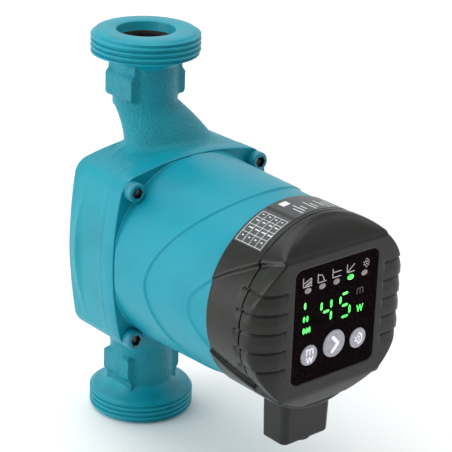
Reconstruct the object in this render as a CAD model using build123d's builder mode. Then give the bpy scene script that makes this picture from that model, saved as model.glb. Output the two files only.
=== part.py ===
from build123d import *
import os
from math import cos, radians, sin

# Wet-rotor circulator pump, 180 mm between ports, as separate pieces.
#
# Frame: origin at the centre of the lower port's face, +Z up the port axis, motor towards -Y.
# The motor axis crosses the port axis at mid height. Places along the motor axis are given as
# the distance ahead of the port axis, towards the control head.

# ---------------------------------------------------------------- driving dimensions (mm)
PORT_TO_PORT = 180.0
AXIS_Z = PORT_TO_PORT / 2            # height of the motor axis
FIT = 0.02                           # gap between pieces that are pressed or screwed together
CLEAR = 0.35                         # gap round a moving piece that isn't a running fit
RUNNING = 0.05                       # radial play of the shaft in its bearings

# Ports: G 1 1/2 external thread, 11 turns per inch
THREAD_R = 23.9
THREAD_ROOT_R = 22.7
THREAD_PITCH = 2.309
THREAD_TURNS = 4
THREAD_START = 1.2                   # the face is chamfered up to here
FACE_R = 21.6
FLANGE_BACK = 10.5
FLARE_END = 14.5                     # the flange's cast back reaches the neck here
MOUTH_R = 12.8
MOUTH_DEPTH = 4.0
PASSAGE_R = 11.5
PASSAGE_TOP = 5.2
PASSAGE_END = 28.0
NECK_R = 14.3
EAR_HALF_X = 14.9                    # wrench flats of a port
EAR_HALF_Y = 9.4
EAR_LOW = 18.5
EAR_HIGH = 29.0
EAR_STEP = 1.7                       # the block beside the flange is this much narrower

# Square flange between pump housing and motor
SQUARE_HALF = 37.9                   # corner of the four bulging sides
SQUARE_BULGE = 43.3                  # middle of each side
SQUARE_CORNER_R = 5.0
DRUM_DRAFT = 2.0                     # the drum's back is this much smaller
DRUM_BACK_R = 4.0
SCREW_HALF = 33.7                    # flange screws stand at this distance in X and in Z
SCREW_R = 2.5                        # M5 socket head cap screws
SCREW_HEAD_R = 4.25
SCREW_HEAD = 4.4
SCREW_SOCKET_R = 2.3
SCREW_SOCKET = 2.6
SCREW_END = 12.0

# Places ahead of the port axis
HOUSING_FRONT = 28.3
FLANGE_FRONT = 35.3
SHELL_FRONT = 93.3
PARTING = 112.8
PLATEAU = 125.3

# Impeller chamber
CHAMBER_R = 33.0
CHAMBER_BACK = 6.0
PLATE_R = 36.1                       # bearing plate and its recess
PLATE_BACK = 25.6
PLATE = 2.4
EYE_R = 13.5
EYE_BACK = 1.0
SUCTION_R = 9.5                         # passage from the lower port
DISCHARGE_R = 8.5                       # passage to the upper port
SUCTION_Y = 8.0                      # the suction passage climbs behind the impeller
SUCTION_WALL = 3.5

# Rotor
IMPELLER_R = 29.0
VANES = 6
SHROUD_BACK = 8.4
VANE_BACK = 10.0
DISC_BACK = 18.0
DISC_FRONT = 19.8
SHAFT_R = 4.0
SHAFT_BACK = 7.0
SHAFT_FRONT = 85.5
BEARING_R = 8.0
BEARING_BACK = 27.0
BEARING_FRONT = 37.0
ROTOR_BACK = 40.0
ROTOR_FRONT = 76.0
YOKE_R = 6.0
MAGNET_R = 14.4
SLEEVE_R = 14.9
CAN_R = 17.0
CAN_WALL = 0.8
CAN_FLANGE_R = 36.0
CAN_END = 87.2

# Motor shell and stator
SHELL_REAR_R = 43.2
SHELL_FRONT_R = 41.4
SHELL_BORE = 38.4
SHELL_END = 88.0
SHELL_SEAT = 92.0                    # the control head's base sits in the shell from here
RIM_R = 38.9
STATOR_BACK = 48.0
STATOR_FRONT = 74.0
TEETH = 6
TOOTH_WIDTH = 8.0
COIL_INNER = 22.0
COIL_OUTER = 29.5
PIN_RADIUS = 27.0
PIN_ANGLES = (50, 60, 70)

# Control head
HEAD_R = 41.35
HEAD_HALF_X = 40.2
HEAD_BORE = 38.9
HEAD_WALL = 2.4
BASE_FLOOR = 94.8
LEDGE_BACK = 108.3
SEAL_BACK = 109.5
SEAL_FRONT = 111.4
BASE_SCREW_RADIUS = 33.0
BASE_SCREW_ANGLES = (30, 150, 270)
BASE_SCREW_R = 1.95
BOSS_RADIUS = 31.0
BOSS_ANGLES = (90, 210, 330)
BOARD_SCREW_R = 1.3
BOARD_BACK = 99.0
BOARD_FRONT = 100.6
BOARD_R = 35.0
DISPLAY_BACK = 116.0
DISPLAY_FRONT = 117.2
PANEL_HALF_X = 22.4
PANEL_LOW = -24.1
PANEL_HIGH = 25.2
PANEL_CORNER_R = 3.6
PANEL_BACK = 123.8
PANEL_FRONT = 125.0
BUTTONS = {
    "button_left": (-13.2, -12.7, 4.4),
    "button_centre": (0.3, -11.3, 5.9),
    "button_right": (13.6, -12.6, 4.4),
}
BUTTON_FRONT = 125.5
BUTTON_FLANGE = 0.9                  # a button's rim behind the panel is this much wider
SWITCH_TOP = 121.2
BUTTON_STEM = 121.75
LED_PITCH = 7.65
LED_Z = 15.9
LEVEL_X = -16.2
LEVEL_PITCH = 5.6

# Mains plug under the head
PLUG_HALF_X = 13.0
PLUG_BACK = 99.5
PLUG_FRONT = 113.0
PLUG_BOTTOM = -60.0
PLUG_CORNER_R = 3.5
PLUG_WALL = 1.8
SPIGOT_HALF_X = 9.0
SPIGOT_BACK = 102.4
SPIGOT_FRONT = 107.2
SPIGOT_TOP = -34.5
CONTACT_PITCH = 6.0
CONTACT_R = 1.6
MAINS_PIN_R = 0.9
PLUG_FLOOR = 2.5
GROMMET_R = 4.7
CABLE_R = 3.4

# ---------------------------------------------------------------- planes and helpers
MOTOR_AXIS = Axis((0, 0, AXIS_Z), (0, -1, 0))
ALONG_MOTOR = Plane((0, 0, AXIS_Z), x_dir=(0, -1, 0), z_dir=(0, 0, 1))
SIDE_VIEW = Plane((0, 0, AXIS_Z), x_dir=(0, -1, 0), z_dir=(-1, 0, 0))
PLAN_VIEW = Plane((0, 0, AXIS_Z), x_dir=(1, 0, 0), z_dir=(0, 0, -1))


def ahead(distance):
    """Plane across the motor axis: local x is X, local y is up, its normal points ahead."""
    return Plane((0, -distance, AXIS_Z), x_dir=(1, 0, 0), z_dir=(0, -1, 0))


def level(z):
    """Horizontal plane at a height measured from the motor axis."""
    return Plane.XY.offset(AXIS_Z + z)


def around(radius, angle):
    """Point on a circle about the motor axis, in an ahead() plane."""
    return (radius * cos(radians(angle)), radius * sin(radians(angle)))


def keep(piece, name):
    """Label a finished piece and write its STEP file."""
    piece.part.label = name
    export_step(piece.part, f"parts/{name}.step")


def half_section(points, plane=ALONG_MOTOR):
    """Closed face from (ahead, radius) points, for a revolve."""
    with BuildSketch(plane) as section:
        with BuildLine():
            Polyline(*points, close=True)
        make_face()
    return section.sketch


def rectangle_points(back, front, inner, outer):
    return [(back, inner), (front, inner), (front, outer), (back, outer)]


def turned(name, points):
    """Piece that is one solid of revolution about the motor axis."""
    with BuildPart() as piece:
        revolve(half_section(points), axis=MOTOR_AXIS)
    keep(piece, name)


def ring(name, back, front, inner, outer):
    turned(name, rectangle_points(back, front, inner, outer))


def square_outline(distance, shrink=0.0):
    """Four bulging sides with rounded corners, across the motor axis."""
    corner = SQUARE_HALF - shrink
    bulge = SQUARE_BULGE - shrink
    with BuildSketch(ahead(distance)) as outline:
        with BuildLine():
            ThreePointArc((corner, corner), (bulge, 0), (corner, -corner))
            ThreePointArc((corner, -corner), (0, -bulge), (-corner, -corner))
            ThreePointArc((-corner, -corner), (-bulge, 0), (-corner, corner))
            ThreePointArc((-corner, corner), (0, bulge), (corner, corner))
        make_face()
        fillet(outline.vertices(), SQUARE_CORNER_R)
    return outline.sketch


# ---------------------------------------------------------------- pump side
def flange_section():
    """Half section of the lower port's flange in (radius, height), with thread ridges."""
    points = [(0, 0), (FACE_R, 0)]
    for turn in range(THREAD_TURNS):
        start = THREAD_START + turn * THREAD_PITCH
        points += [
            (THREAD_ROOT_R, start),
            (THREAD_R, start + 0.30 * THREAD_PITCH),
            (THREAD_R, start + 0.62 * THREAD_PITCH),
            (THREAD_ROOT_R, start + 0.92 * THREAD_PITCH),
        ]
    points += [(THREAD_ROOT_R, FLANGE_BACK), (NECK_R, FLARE_END), (0, FLARE_END)]
    return half_section(points, Plane.XZ)


def mouth_section():
    """Half section of the lower port's mouth and straight passage."""
    points = [
        (0, 0),
        (MOUTH_R, 0),
        (MOUTH_R, MOUTH_DEPTH),
        (PASSAGE_R, PASSAGE_TOP),
        (PASSAGE_R, PASSAGE_END),
        (SUCTION_R, PASSAGE_END + 6),
        (0, PASSAGE_END + 6),
    ]
    return half_section(points, Plane.XZ)


def pump_housing():
    """Cast housing: two threaded ports, their passages and the impeller chamber."""
    with BuildPart() as half:
        revolve(flange_section(), axis=Axis.Z)
        with BuildSketch():
            Circle(NECK_R)
        extrude(amount=AXIS_Z - 57)
        with BuildSketch(Plane.XY.offset(EAR_LOW)):
            RectangleRounded(2 * EAR_HALF_X, 2 * EAR_HALF_Y, 1.5)
        extrude(amount=EAR_HIGH - EAR_LOW)
        with BuildSketch(Plane.XY.offset(FLANGE_BACK)):
            RectangleRounded(2 * (EAR_HALF_X - EAR_STEP), 2 * EAR_HALF_Y, 1.5)
        extrude(amount=EAR_LOW - FLANGE_BACK)
    with BuildPart() as drum:
        loft([square_outline(0, DRUM_DRAFT).face(), square_outline(HOUSING_FRONT).face()])
        fillet(drum.edges().group_by(Axis.Y)[-1], DRUM_BACK_R)
    with BuildPart() as housing:
        add(half.part)
        add(half.part.mirror(level(0)))
        add(drum.part)
        # domed back
        with BuildSketch(ahead(0.5)):
            Circle(35)
        with BuildSketch(ahead(-16)):
            Circle(22)
        loft()
        # swelling of the volute on the left
        for side in (-1, 1):
            with BuildSketch(level(0)):
                with Locations((-37.0, -0.5)):
                    Ellipse(6.0, 8.0)
            with BuildSketch(level(side * 24)):
                with Locations((-34.0, -2.0)):
                    Ellipse(4.0, 5.0)
            loft()
        # discharge hood leans forward from the upper neck onto the drum
        with BuildSketch(level(58)):
            Circle(NECK_R)
        with BuildSketch(level(49)):
            with Locations((2.8, -7.7)):
                Ellipse(18.6, 13.3)
        with BuildSketch(level(36)):
            with Locations((4.6, -13.8)):
                Ellipse(25.0, 13.2)
        loft()
        # shorter hood into the lower neck
        with BuildSketch(level(-58)):
            Circle(NECK_R)
        with BuildSketch(level(-36)):
            with Locations((0, -5)):
                Ellipse(22.0, 18.0)
        loft()
        # suction passage behind the drum
        with BuildSketch(level(-58)):
            Circle(SUCTION_R + SUCTION_WALL)
        with BuildSketch(level(-38)):
            with Locations((0, SUCTION_Y)):
                Circle(SUCTION_R + SUCTION_WALL)
        loft()
        with BuildSketch(level(-38)):
            with Locations((0, SUCTION_Y)):
                Circle(SUCTION_R + SUCTION_WALL)
        extrude(amount=38)
        with Locations((0, SUCTION_Y, AXIS_Z)):
            Sphere(SUCTION_R + SUCTION_WALL)
        # impeller chamber, plate recess and suction eye
        revolve(
            half_section([
                (EYE_BACK, 0),
                (EYE_BACK, EYE_R),
                (CHAMBER_BACK, EYE_R),
                (CHAMBER_BACK, CHAMBER_R),
                (PLATE_BACK - 2.0, CHAMBER_R),
                (PLATE_BACK - 2.0, PLATE_R),
                (HOUSING_FRONT + 1, PLATE_R),
                (HOUSING_FRONT + 1, 0),
            ]),
            axis=MOTOR_AXIS,
            mode=Mode.SUBTRACT,
        )
        # mouths and straight passages of both ports
        revolve(mouth_section(), axis=Axis.Z, mode=Mode.SUBTRACT)
        revolve(mirror(mouth_section(), about=level(0), mode=Mode.PRIVATE), axis=Axis.Z, mode=Mode.SUBTRACT)
        # suction passage turns forward into the eye
        with BuildLine(Plane.YZ):
            FilletPolyline(
                (0, PASSAGE_END),
                (0, AXIS_Z - 58),
                (SUCTION_Y, AXIS_Z - 38),
                (SUCTION_Y, AXIS_Z),
                (-EYE_BACK - 1, AXIS_Z),
                radius=[12, 12, 9.9],
            )
        with BuildSketch(Plane.XY.offset(PASSAGE_END)):
            Circle(SUCTION_R)
        sweep(mode=Mode.SUBTRACT)
        # discharge passage leaves the top of the chamber
        with BuildLine(Plane.YZ):
            FilletPolyline(
                (0, PORT_TO_PORT - PASSAGE_END),
                (0, AXIS_Z + 58),
                (-13.5, AXIS_Z + 42),
                (-13.5, AXIS_Z + 24),
                radius=[10, 12],
            )
        with BuildSketch(Plane.XY.offset(PORT_TO_PORT - PASSAGE_END)):
            Circle(DISCHARGE_R)
        sweep(mode=Mode.SUBTRACT)
        # screw holes
        with BuildSketch(ahead(SCREW_END)):
            with GridLocations(2 * SCREW_HALF, 2 * SCREW_HALF, 2, 2):
                Circle(SCREW_R)
        extrude(amount=HOUSING_FRONT + 1 - SCREW_END, mode=Mode.SUBTRACT)
    keep(housing, "pump_housing")


def flange_screws():
    """Four socket head cap screws through the motor flange."""
    with BuildPart() as screws:
        with BuildSketch(ahead(SCREW_END + 0.5)):
            with GridLocations(2 * SCREW_HALF, 2 * SCREW_HALF, 2, 2):
                Circle(SCREW_R - FIT)
        extrude(amount=FLANGE_FRONT + FIT - SCREW_END)
        with BuildSketch(ahead(FLANGE_FRONT + FIT)):
            with GridLocations(2 * SCREW_HALF, 2 * SCREW_HALF, 2, 2):
                Circle(SCREW_HEAD_R)
        extrude(amount=SCREW_HEAD)
        rims = screws.edges().filter_by(GeomType.CIRCLE).group_by(Axis.Y)[0]
        fillet(rims, 0.5)
        with BuildSketch(ahead(FLANGE_FRONT + SCREW_HEAD - SCREW_SOCKET)):
            with GridLocations(2 * SCREW_HALF, 2 * SCREW_HALF, 2, 2):
                RegularPolygon(SCREW_SOCKET_R, 6, major_radius=True)
        extrude(amount=SCREW_SOCKET + 1, mode=Mode.SUBTRACT)
    keep(screws, "flange_screws")


def housing_o_ring():
    """Seal in the corner behind the bearing plate."""
    with BuildPart() as seal:
        with BuildSketch(ALONG_MOTOR):
            with Locations((PLATE_BACK - 1.0, PLATE_R - 1.0)):
                Circle(1.0 - FIT)
        revolve(axis=MOTOR_AXIS)
    keep(seal, "housing_o_ring")


def bearing_plate():
    """Stainless plate that closes the chamber and carries the rear bearing."""
    front = PLATE_BACK + PLATE
    turned("bearing_plate", [
        (PLATE_BACK, BEARING_R - 2.0),
        (PLATE_BACK, PLATE_R - FIT),
        (front, PLATE_R - FIT),
        (front, BEARING_R + 2.5),
        (BEARING_FRONT, BEARING_R + 2.5),
        (BEARING_FRONT, BEARING_R + FIT),
        (BEARING_BACK - FIT, BEARING_R + FIT),
        (BEARING_BACK - FIT, BEARING_R - 2.0),
    ])


# ---------------------------------------------------------------- rotor
def impeller():
    """Hub, driven disc and backward-curved vanes."""
    with BuildPart() as wheel:
        revolve(half_section(rectangle_points(DISC_BACK, DISC_FRONT, 0, IMPELLER_R)), axis=MOTOR_AXIS)
        revolve(half_section(rectangle_points(SHAFT_BACK + 2, DISC_FRONT + 2.5, 0, 7.5)), axis=MOTOR_AXIS)
        for vane in range(VANES):
            turn = 360 / VANES * vane
            with BuildSketch(ahead(VANE_BACK + FIT)):
                with BuildLine():
                    ThreePointArc(around(11, turn), around(20, turn + 22), around(28, turn + 62))
                trace(line_width=1.8)
            extrude(amount=DISC_BACK - VANE_BACK)
        shaft_hole = half_section(rectangle_points(0, 30, 0, SHAFT_R + FIT))
        revolve(shaft_hole, axis=MOTOR_AXIS, mode=Mode.SUBTRACT)
    keep(wheel, "impeller")


def impeller_shroud():
    """Suction-side disc with the eye collar."""
    turned("impeller_shroud", [
        (EYE_BACK + 1.6, 10.3),
        (EYE_BACK + 1.6, EYE_R - 1.5),
        (SHROUD_BACK, EYE_R - 1.5),
        (SHROUD_BACK, IMPELLER_R),
        (VANE_BACK, IMPELLER_R),
        (VANE_BACK, 10.3),
    ])


def rotor_sleeve():
    """Thin stainless can welded round the magnet."""
    turned("rotor_sleeve", [
        (ROTOR_BACK + 1.4, YOKE_R + FIT),
        (ROTOR_BACK + 1.4, SLEEVE_R),
        (ROTOR_FRONT - 1.4, SLEEVE_R),
        (ROTOR_FRONT - 1.4, YOKE_R + FIT),
        (ROTOR_FRONT - 1.9, YOKE_R + FIT),
        (ROTOR_FRONT - 1.9, MAGNET_R + FIT),
        (ROTOR_BACK + 1.9, MAGNET_R + FIT),
        (ROTOR_BACK + 1.9, YOKE_R + FIT),
    ])


def rotor_pieces():
    """Everything that turns with the shaft."""
    ring("shaft", SHAFT_BACK, SHAFT_FRONT, 1.2, SHAFT_R)
    ring("rotor_yoke", ROTOR_BACK + 0.5, ROTOR_FRONT, SHAFT_R + FIT, YOKE_R)
    ring("rotor_magnet", ROTOR_BACK + 2, ROTOR_FRONT - 2, YOKE_R + FIT, MAGNET_R)
    ring("thrust_ring", BEARING_FRONT + CLEAR, ROTOR_BACK + 0.4, SHAFT_R + FIT, 9.0)
    rotor_sleeve()
    impeller()
    impeller_shroud()


def rotor_can():
    """Stainless cup that keeps the water away from the windings."""
    flange_back = PLATE_BACK + PLATE + FIT
    inner = CAN_R - CAN_WALL
    turned("rotor_can", [
        (flange_back, inner),
        (flange_back, CAN_FLANGE_R),
        (flange_back + CAN_WALL, CAN_FLANGE_R),
        (flange_back + CAN_WALL, CAN_R),
        (CAN_END, CAN_R),
        (CAN_END, 0),
        (CAN_END - CAN_WALL, 0),
        (CAN_END - CAN_WALL, inner),
    ])


def bearings():
    """Bushes, the front bush's carrier and the ring round the suction eye."""
    ring("rear_bearing", BEARING_BACK, BEARING_FRONT, SHAFT_R + RUNNING, BEARING_R)
    ring("front_bearing", 78.0, 86.0, SHAFT_R + RUNNING, BEARING_R)
    ring("bearing_carrier", 78.0, CAN_END - CAN_WALL - FIT, BEARING_R + FIT, CAN_R - CAN_WALL - FIT)
    ring("suction_ring", EYE_BACK + FIT, CHAMBER_BACK, EYE_R - 1.15, EYE_R - FIT)


# ---------------------------------------------------------------- motor
def motor_housing():
    """Cast aluminium shell with the square flange and an end wall."""
    with BuildPart() as shell:
        extrude(square_outline(HOUSING_FRONT + FIT), amount=FLANGE_FRONT - HOUSING_FRONT - FIT)
        revolve(
            half_section([
                (FLANGE_FRONT - 1, 0),
                (FLANGE_FRONT - 1, SHELL_REAR_R),
                (FLANGE_FRONT, SHELL_REAR_R),
                (SHELL_FRONT, SHELL_FRONT_R),
                (SHELL_FRONT, 0),
            ]),
            axis=MOTOR_AXIS,
        )
        revolve(
            half_section([
                (HOUSING_FRONT - 1, 0),
                (HOUSING_FRONT - 1, CAN_FLANGE_R + 0.3),
                (HOUSING_FRONT + 0.6, CAN_FLANGE_R + 0.3),
                (HOUSING_FRONT + 0.6, 34.5),
                (HOUSING_FRONT + 3.7, 34.5),
                (HOUSING_FRONT + 5.0, SHELL_BORE),
                (SHELL_END, SHELL_BORE),
                (SHELL_END, 0),
            ]),
            axis=MOTOR_AXIS,
            mode=Mode.SUBTRACT,
        )
        with BuildSketch(ahead(SHELL_SEAT)):
            Circle(RIM_R)
        extrude(amount=5, mode=Mode.SUBTRACT)
        with BuildSketch(ahead(HOUSING_FRONT - 1)):
            with GridLocations(2 * SCREW_HALF, 2 * SCREW_HALF, 2, 2):
                Circle(SCREW_R + 0.25)
        extrude(amount=FLANGE_FRONT - HOUSING_FRONT + 2, mode=Mode.SUBTRACT)
        with BuildSketch(ahead(SHELL_END - 1)):
            for angle in PIN_ANGLES:
                with Locations(around(PIN_RADIUS, angle)):
                    Circle(1.8)
            for angle in BASE_SCREW_ANGLES:
                with Locations(around(BASE_SCREW_RADIUS, angle)):
                    Circle(BASE_SCREW_R + FIT)
        extrude(amount=SHELL_SEAT - SHELL_END + 2, mode=Mode.SUBTRACT)
    keep(shell, "motor_housing")


def stator_core():
    """Laminated ring with inward teeth."""
    with BuildPart() as core:
        with BuildSketch(ahead(STATOR_BACK)) as lamination:
            Circle(SHELL_BORE - FIT)
            Circle(31.5, mode=Mode.SUBTRACT)
            with PolarLocations(25, TEETH, 30):
                Rectangle(14.5, TOOTH_WIDTH)
            Circle(20.8)
            Circle(CAN_R + CLEAR, mode=Mode.SUBTRACT)
            with PolarLocations(18.5, TEETH, 60):
                Rectangle(6, 1.6, mode=Mode.SUBTRACT)
        extrude(amount=STATOR_FRONT - STATOR_BACK)
    keep(core, "stator_core")


def coil_frame(angle, hole, outside, low, high):
    """Rectangular frame wound round one tooth, between two radii."""
    direction = Vector(*around(1, angle), 0)
    facing = Plane(
        (direction.X * low, -(STATOR_BACK + STATOR_FRONT) / 2, AXIS_Z + direction.Y * low),
        x_dir=(0, -1, 0),
        z_dir=(direction.X, 0, direction.Y),
    )
    with BuildPart() as frame:
        with BuildSketch(facing):
            RectangleRounded(*outside, 2.0)
            Rectangle(*hole, mode=Mode.SUBTRACT)
        extrude(amount=high - low)
    return frame.part


def stator_coils():
    """Six windings, each on a plastic bobbin round its tooth."""
    length = STATOR_FRONT - STATOR_BACK
    tooth = (length + 0.1, TOOTH_WIDTH + 0.1)
    bobbin = (length + 2, TOOTH_WIDTH + 1.8)
    with BuildPart() as bobbins:
        for turn in range(TEETH):
            add(coil_frame(30 + 60 * turn, tooth, bobbin, COIL_INNER - 0.7, COIL_OUTER + 1))
    keep(bobbins, "winding_bobbins")
    with BuildPart() as coils:
        for turn in range(TEETH):
            hole = (length + 2.1, TOOTH_WIDTH + 1.9)
            coil = (length + 9, TOOTH_WIDTH + 9)
            add(coil_frame(30 + 60 * turn, hole, coil, COIL_INNER, COIL_OUTER))
    keep(coils, "stator_windings")


def terminals():
    """Three winding pins in their block, through the shell's end wall."""
    with BuildPart() as block:
        with BuildSketch(ahead(79.5)):
            with Locations(Location((*around(PIN_RADIUS, 60), 0), (0, 0, -30))):
                RectangleRounded(15, 5, 1)
        extrude(amount=SHELL_END - FIT - 79.5)
        with BuildSketch(ahead(79.5)):
            for angle in PIN_ANGLES:
                with Locations(around(PIN_RADIUS, angle)):
                    Circle(0.8 + FIT)
        extrude(amount=10, mode=Mode.SUBTRACT)
    keep(block, "terminal_block")
    with BuildPart() as pins:
        with BuildSketch(ahead(80)):
            for angle in PIN_ANGLES:
                with Locations(around(PIN_RADIUS, angle)):
                    Circle(0.8)
        extrude(amount=BOARD_FRONT + 2 - 80)
    keep(pins, "winding_pins")


# ---------------------------------------------------------------- control head
def control_base():
    """Round tub behind the cover, with board bosses and the opening for the plug."""
    with BuildPart() as base:
        revolve(
            half_section([
                (SHELL_SEAT + FIT, 0),
                (SHELL_SEAT + FIT, RIM_R - FIT),
                (SHELL_FRONT + FIT, RIM_R - FIT),
                (SHELL_FRONT + FIT, HEAD_R),
                (PARTING - 0.1, HEAD_R),
                (PARTING - 0.1, HEAD_BORE),
                (SEAL_BACK, HEAD_BORE),
                (SEAL_BACK, HEAD_BORE - 2.1),
                (LEDGE_BACK, HEAD_BORE - 2.1),
                (LEDGE_BACK, HEAD_BORE),
                (BASE_FLOOR, HEAD_BORE),
                (BASE_FLOOR, 0),
            ]),
            axis=MOTOR_AXIS,
        )
        with BuildSketch(ahead(SHELL_SEAT)):
            Rectangle(2 * HEAD_HALF_X, 3 * HEAD_R)
        extrude(amount=30, mode=Mode.INTERSECT)
        with BuildSketch(ahead(BASE_FLOOR)):
            for angle in BOSS_ANGLES:
                with Locations(around(BOSS_RADIUS, angle)):
                    Circle(3.2)
        extrude(amount=BOARD_BACK - FIT - BASE_FLOOR)
        with BuildSketch(ahead(SHELL_SEAT - 1)):
            for angle in PIN_ANGLES:
                with Locations(around(PIN_RADIUS, angle)):
                    Circle(1.8)
            for angle in BASE_SCREW_ANGLES:
                with Locations(around(BASE_SCREW_RADIUS, angle)):
                    Circle(BASE_SCREW_R + FIT)
        extrude(amount=5, mode=Mode.SUBTRACT)
        with BuildSketch(ahead(BASE_FLOOR + 1)):
            for angle in BOSS_ANGLES:
                with Locations(around(BOSS_RADIUS, angle)):
                    Circle(BOARD_SCREW_R + FIT)
        extrude(amount=5, mode=Mode.SUBTRACT)
        with BuildSketch(level(-45)):
            with Locations((0, -(SPIGOT_BACK + SPIGOT_FRONT) / 2)):
                Rectangle(2 * SPIGOT_HALF_X + 0.8, SPIGOT_FRONT - SPIGOT_BACK + 0.8)
        extrude(amount=10, mode=Mode.SUBTRACT)
    keep(base, "control_base")


def cover_form(inset):
    """Front dome of the head: brow above, chin below, rounded sides."""
    back = PARTING + 0.1
    top = HEAD_R - inset
    front = PLATEAU - inset
    wide = HEAD_HALF_X - inset
    with BuildPart() as form:
        with BuildSketch(ahead(back)):
            Circle(top)
        extrude(amount=front - back)
        with BuildSketch(SIDE_VIEW):
            with BuildLine():
                Polyline(
                    (back, top + 1),
                    (back, -top - 1),
                    (119.3 - inset, -top - 1),
                    (121.4 - inset, -top + 2.8),
                    (front - 0.9, -31.2 + inset),
                    (front, -29.2 + inset),
                    (front, 29.2 - inset),
                    (front - 0.6, 31.3 - inset),
                )
                ThreePointArc((front - 0.6, 31.3 - inset), (119.9 - inset, 37.6 - inset), (back, top + 1))
            make_face()
        extrude(amount=HEAD_R, both=True, mode=Mode.INTERSECT)
        with BuildSketch(PLAN_VIEW):
            with BuildLine():
                Polyline((-27 + inset, front), (27 - inset, front))
                ThreePointArc((27 - inset, front), (36.8 - inset, 121.6 - inset), (wide, 114.5))
                Polyline((wide, 114.5), (wide, back), (-wide, back), (-wide, 114.5))
                ThreePointArc((-wide, 114.5), (-36.8 + inset, 121.6 - inset), (-27 + inset, front))
            make_face()
        extrude(amount=HEAD_R + 1, both=True, mode=Mode.INTERSECT)
    return form.part


def panel_outline(distance, inset=0.0):
    """Rounded display rectangle across the motor axis."""
    with BuildSketch(ahead(distance)) as outline:
        with Locations((0, (PANEL_HIGH + PANEL_LOW) / 2)):
            RectangleRounded(
                2 * (PANEL_HALF_X - inset),
                PANEL_HIGH - PANEL_LOW - 2 * inset,
                PANEL_CORNER_R,
            )
    return outline.sketch


def control_cover():
    """Front cover: hollow dome, spigot into the base, and the pocket for the display panel."""
    with BuildPart() as cover:
        add(cover_form(0))
        add(cover_form(HEAD_WALL), mode=Mode.SUBTRACT)
        revolve(
            half_section(rectangle_points(SEAL_FRONT + FIT, PARTING + 3, HEAD_BORE - 1.9, HEAD_BORE - 0.1)),
            axis=MOTOR_AXIS,
        )
        with BuildSketch(ahead(DISPLAY_FRONT + FIT)):
            with Locations((0, (PANEL_HIGH + PANEL_LOW) / 2)):
                with GridLocations(44.8, 46.6, 2, 2):
                    Circle(1.5)
        extrude(amount=PANEL_BACK - 0.5 - DISPLAY_FRONT)
        extrude(panel_outline(PANEL_BACK, -0.1), amount=5, mode=Mode.SUBTRACT)
        extrude(panel_outline(DISPLAY_FRONT, 2.2), amount=10, mode=Mode.SUBTRACT)
    keep(cover, "control_cover")


def display_panel():
    """Printed front film on its plate, with a hole for each button."""
    with BuildPart() as panel:
        extrude(panel_outline(PANEL_BACK + FIT), amount=PANEL_FRONT - PANEL_BACK - FIT)
        with BuildSketch(ahead(PANEL_BACK)):
            for x, z, radius in BUTTONS.values():
                with Locations((x, z)):
                    Circle(radius + 0.3)
        extrude(amount=3, mode=Mode.SUBTRACT)
    keep(panel, "display_panel")


def button(name):
    """Round button with a rim behind the panel and a stem over its switch."""
    x, z, radius = BUTTONS[name]
    rim_front = PANEL_BACK - 0.3
    with BuildPart() as cap:
        with BuildSketch(ahead(rim_front - 0.9)):
            with Locations((x, z)):
                Circle(radius + BUTTON_FLANGE)
        extrude(amount=0.9)
        with BuildSketch(ahead(BUTTON_STEM)):
            with Locations((x, z)):
                Circle(1.6)
        extrude(amount=rim_front - BUTTON_STEM)
        with BuildSketch(ahead(rim_front)):
            with Locations((x, z)):
                Circle(radius)
        extrude(amount=BUTTON_FRONT - rim_front)
        fillet(cap.edges().filter_by(GeomType.CIRCLE).group_by(Axis.Y)[0], 0.25)
    keep(cap, name)


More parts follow.
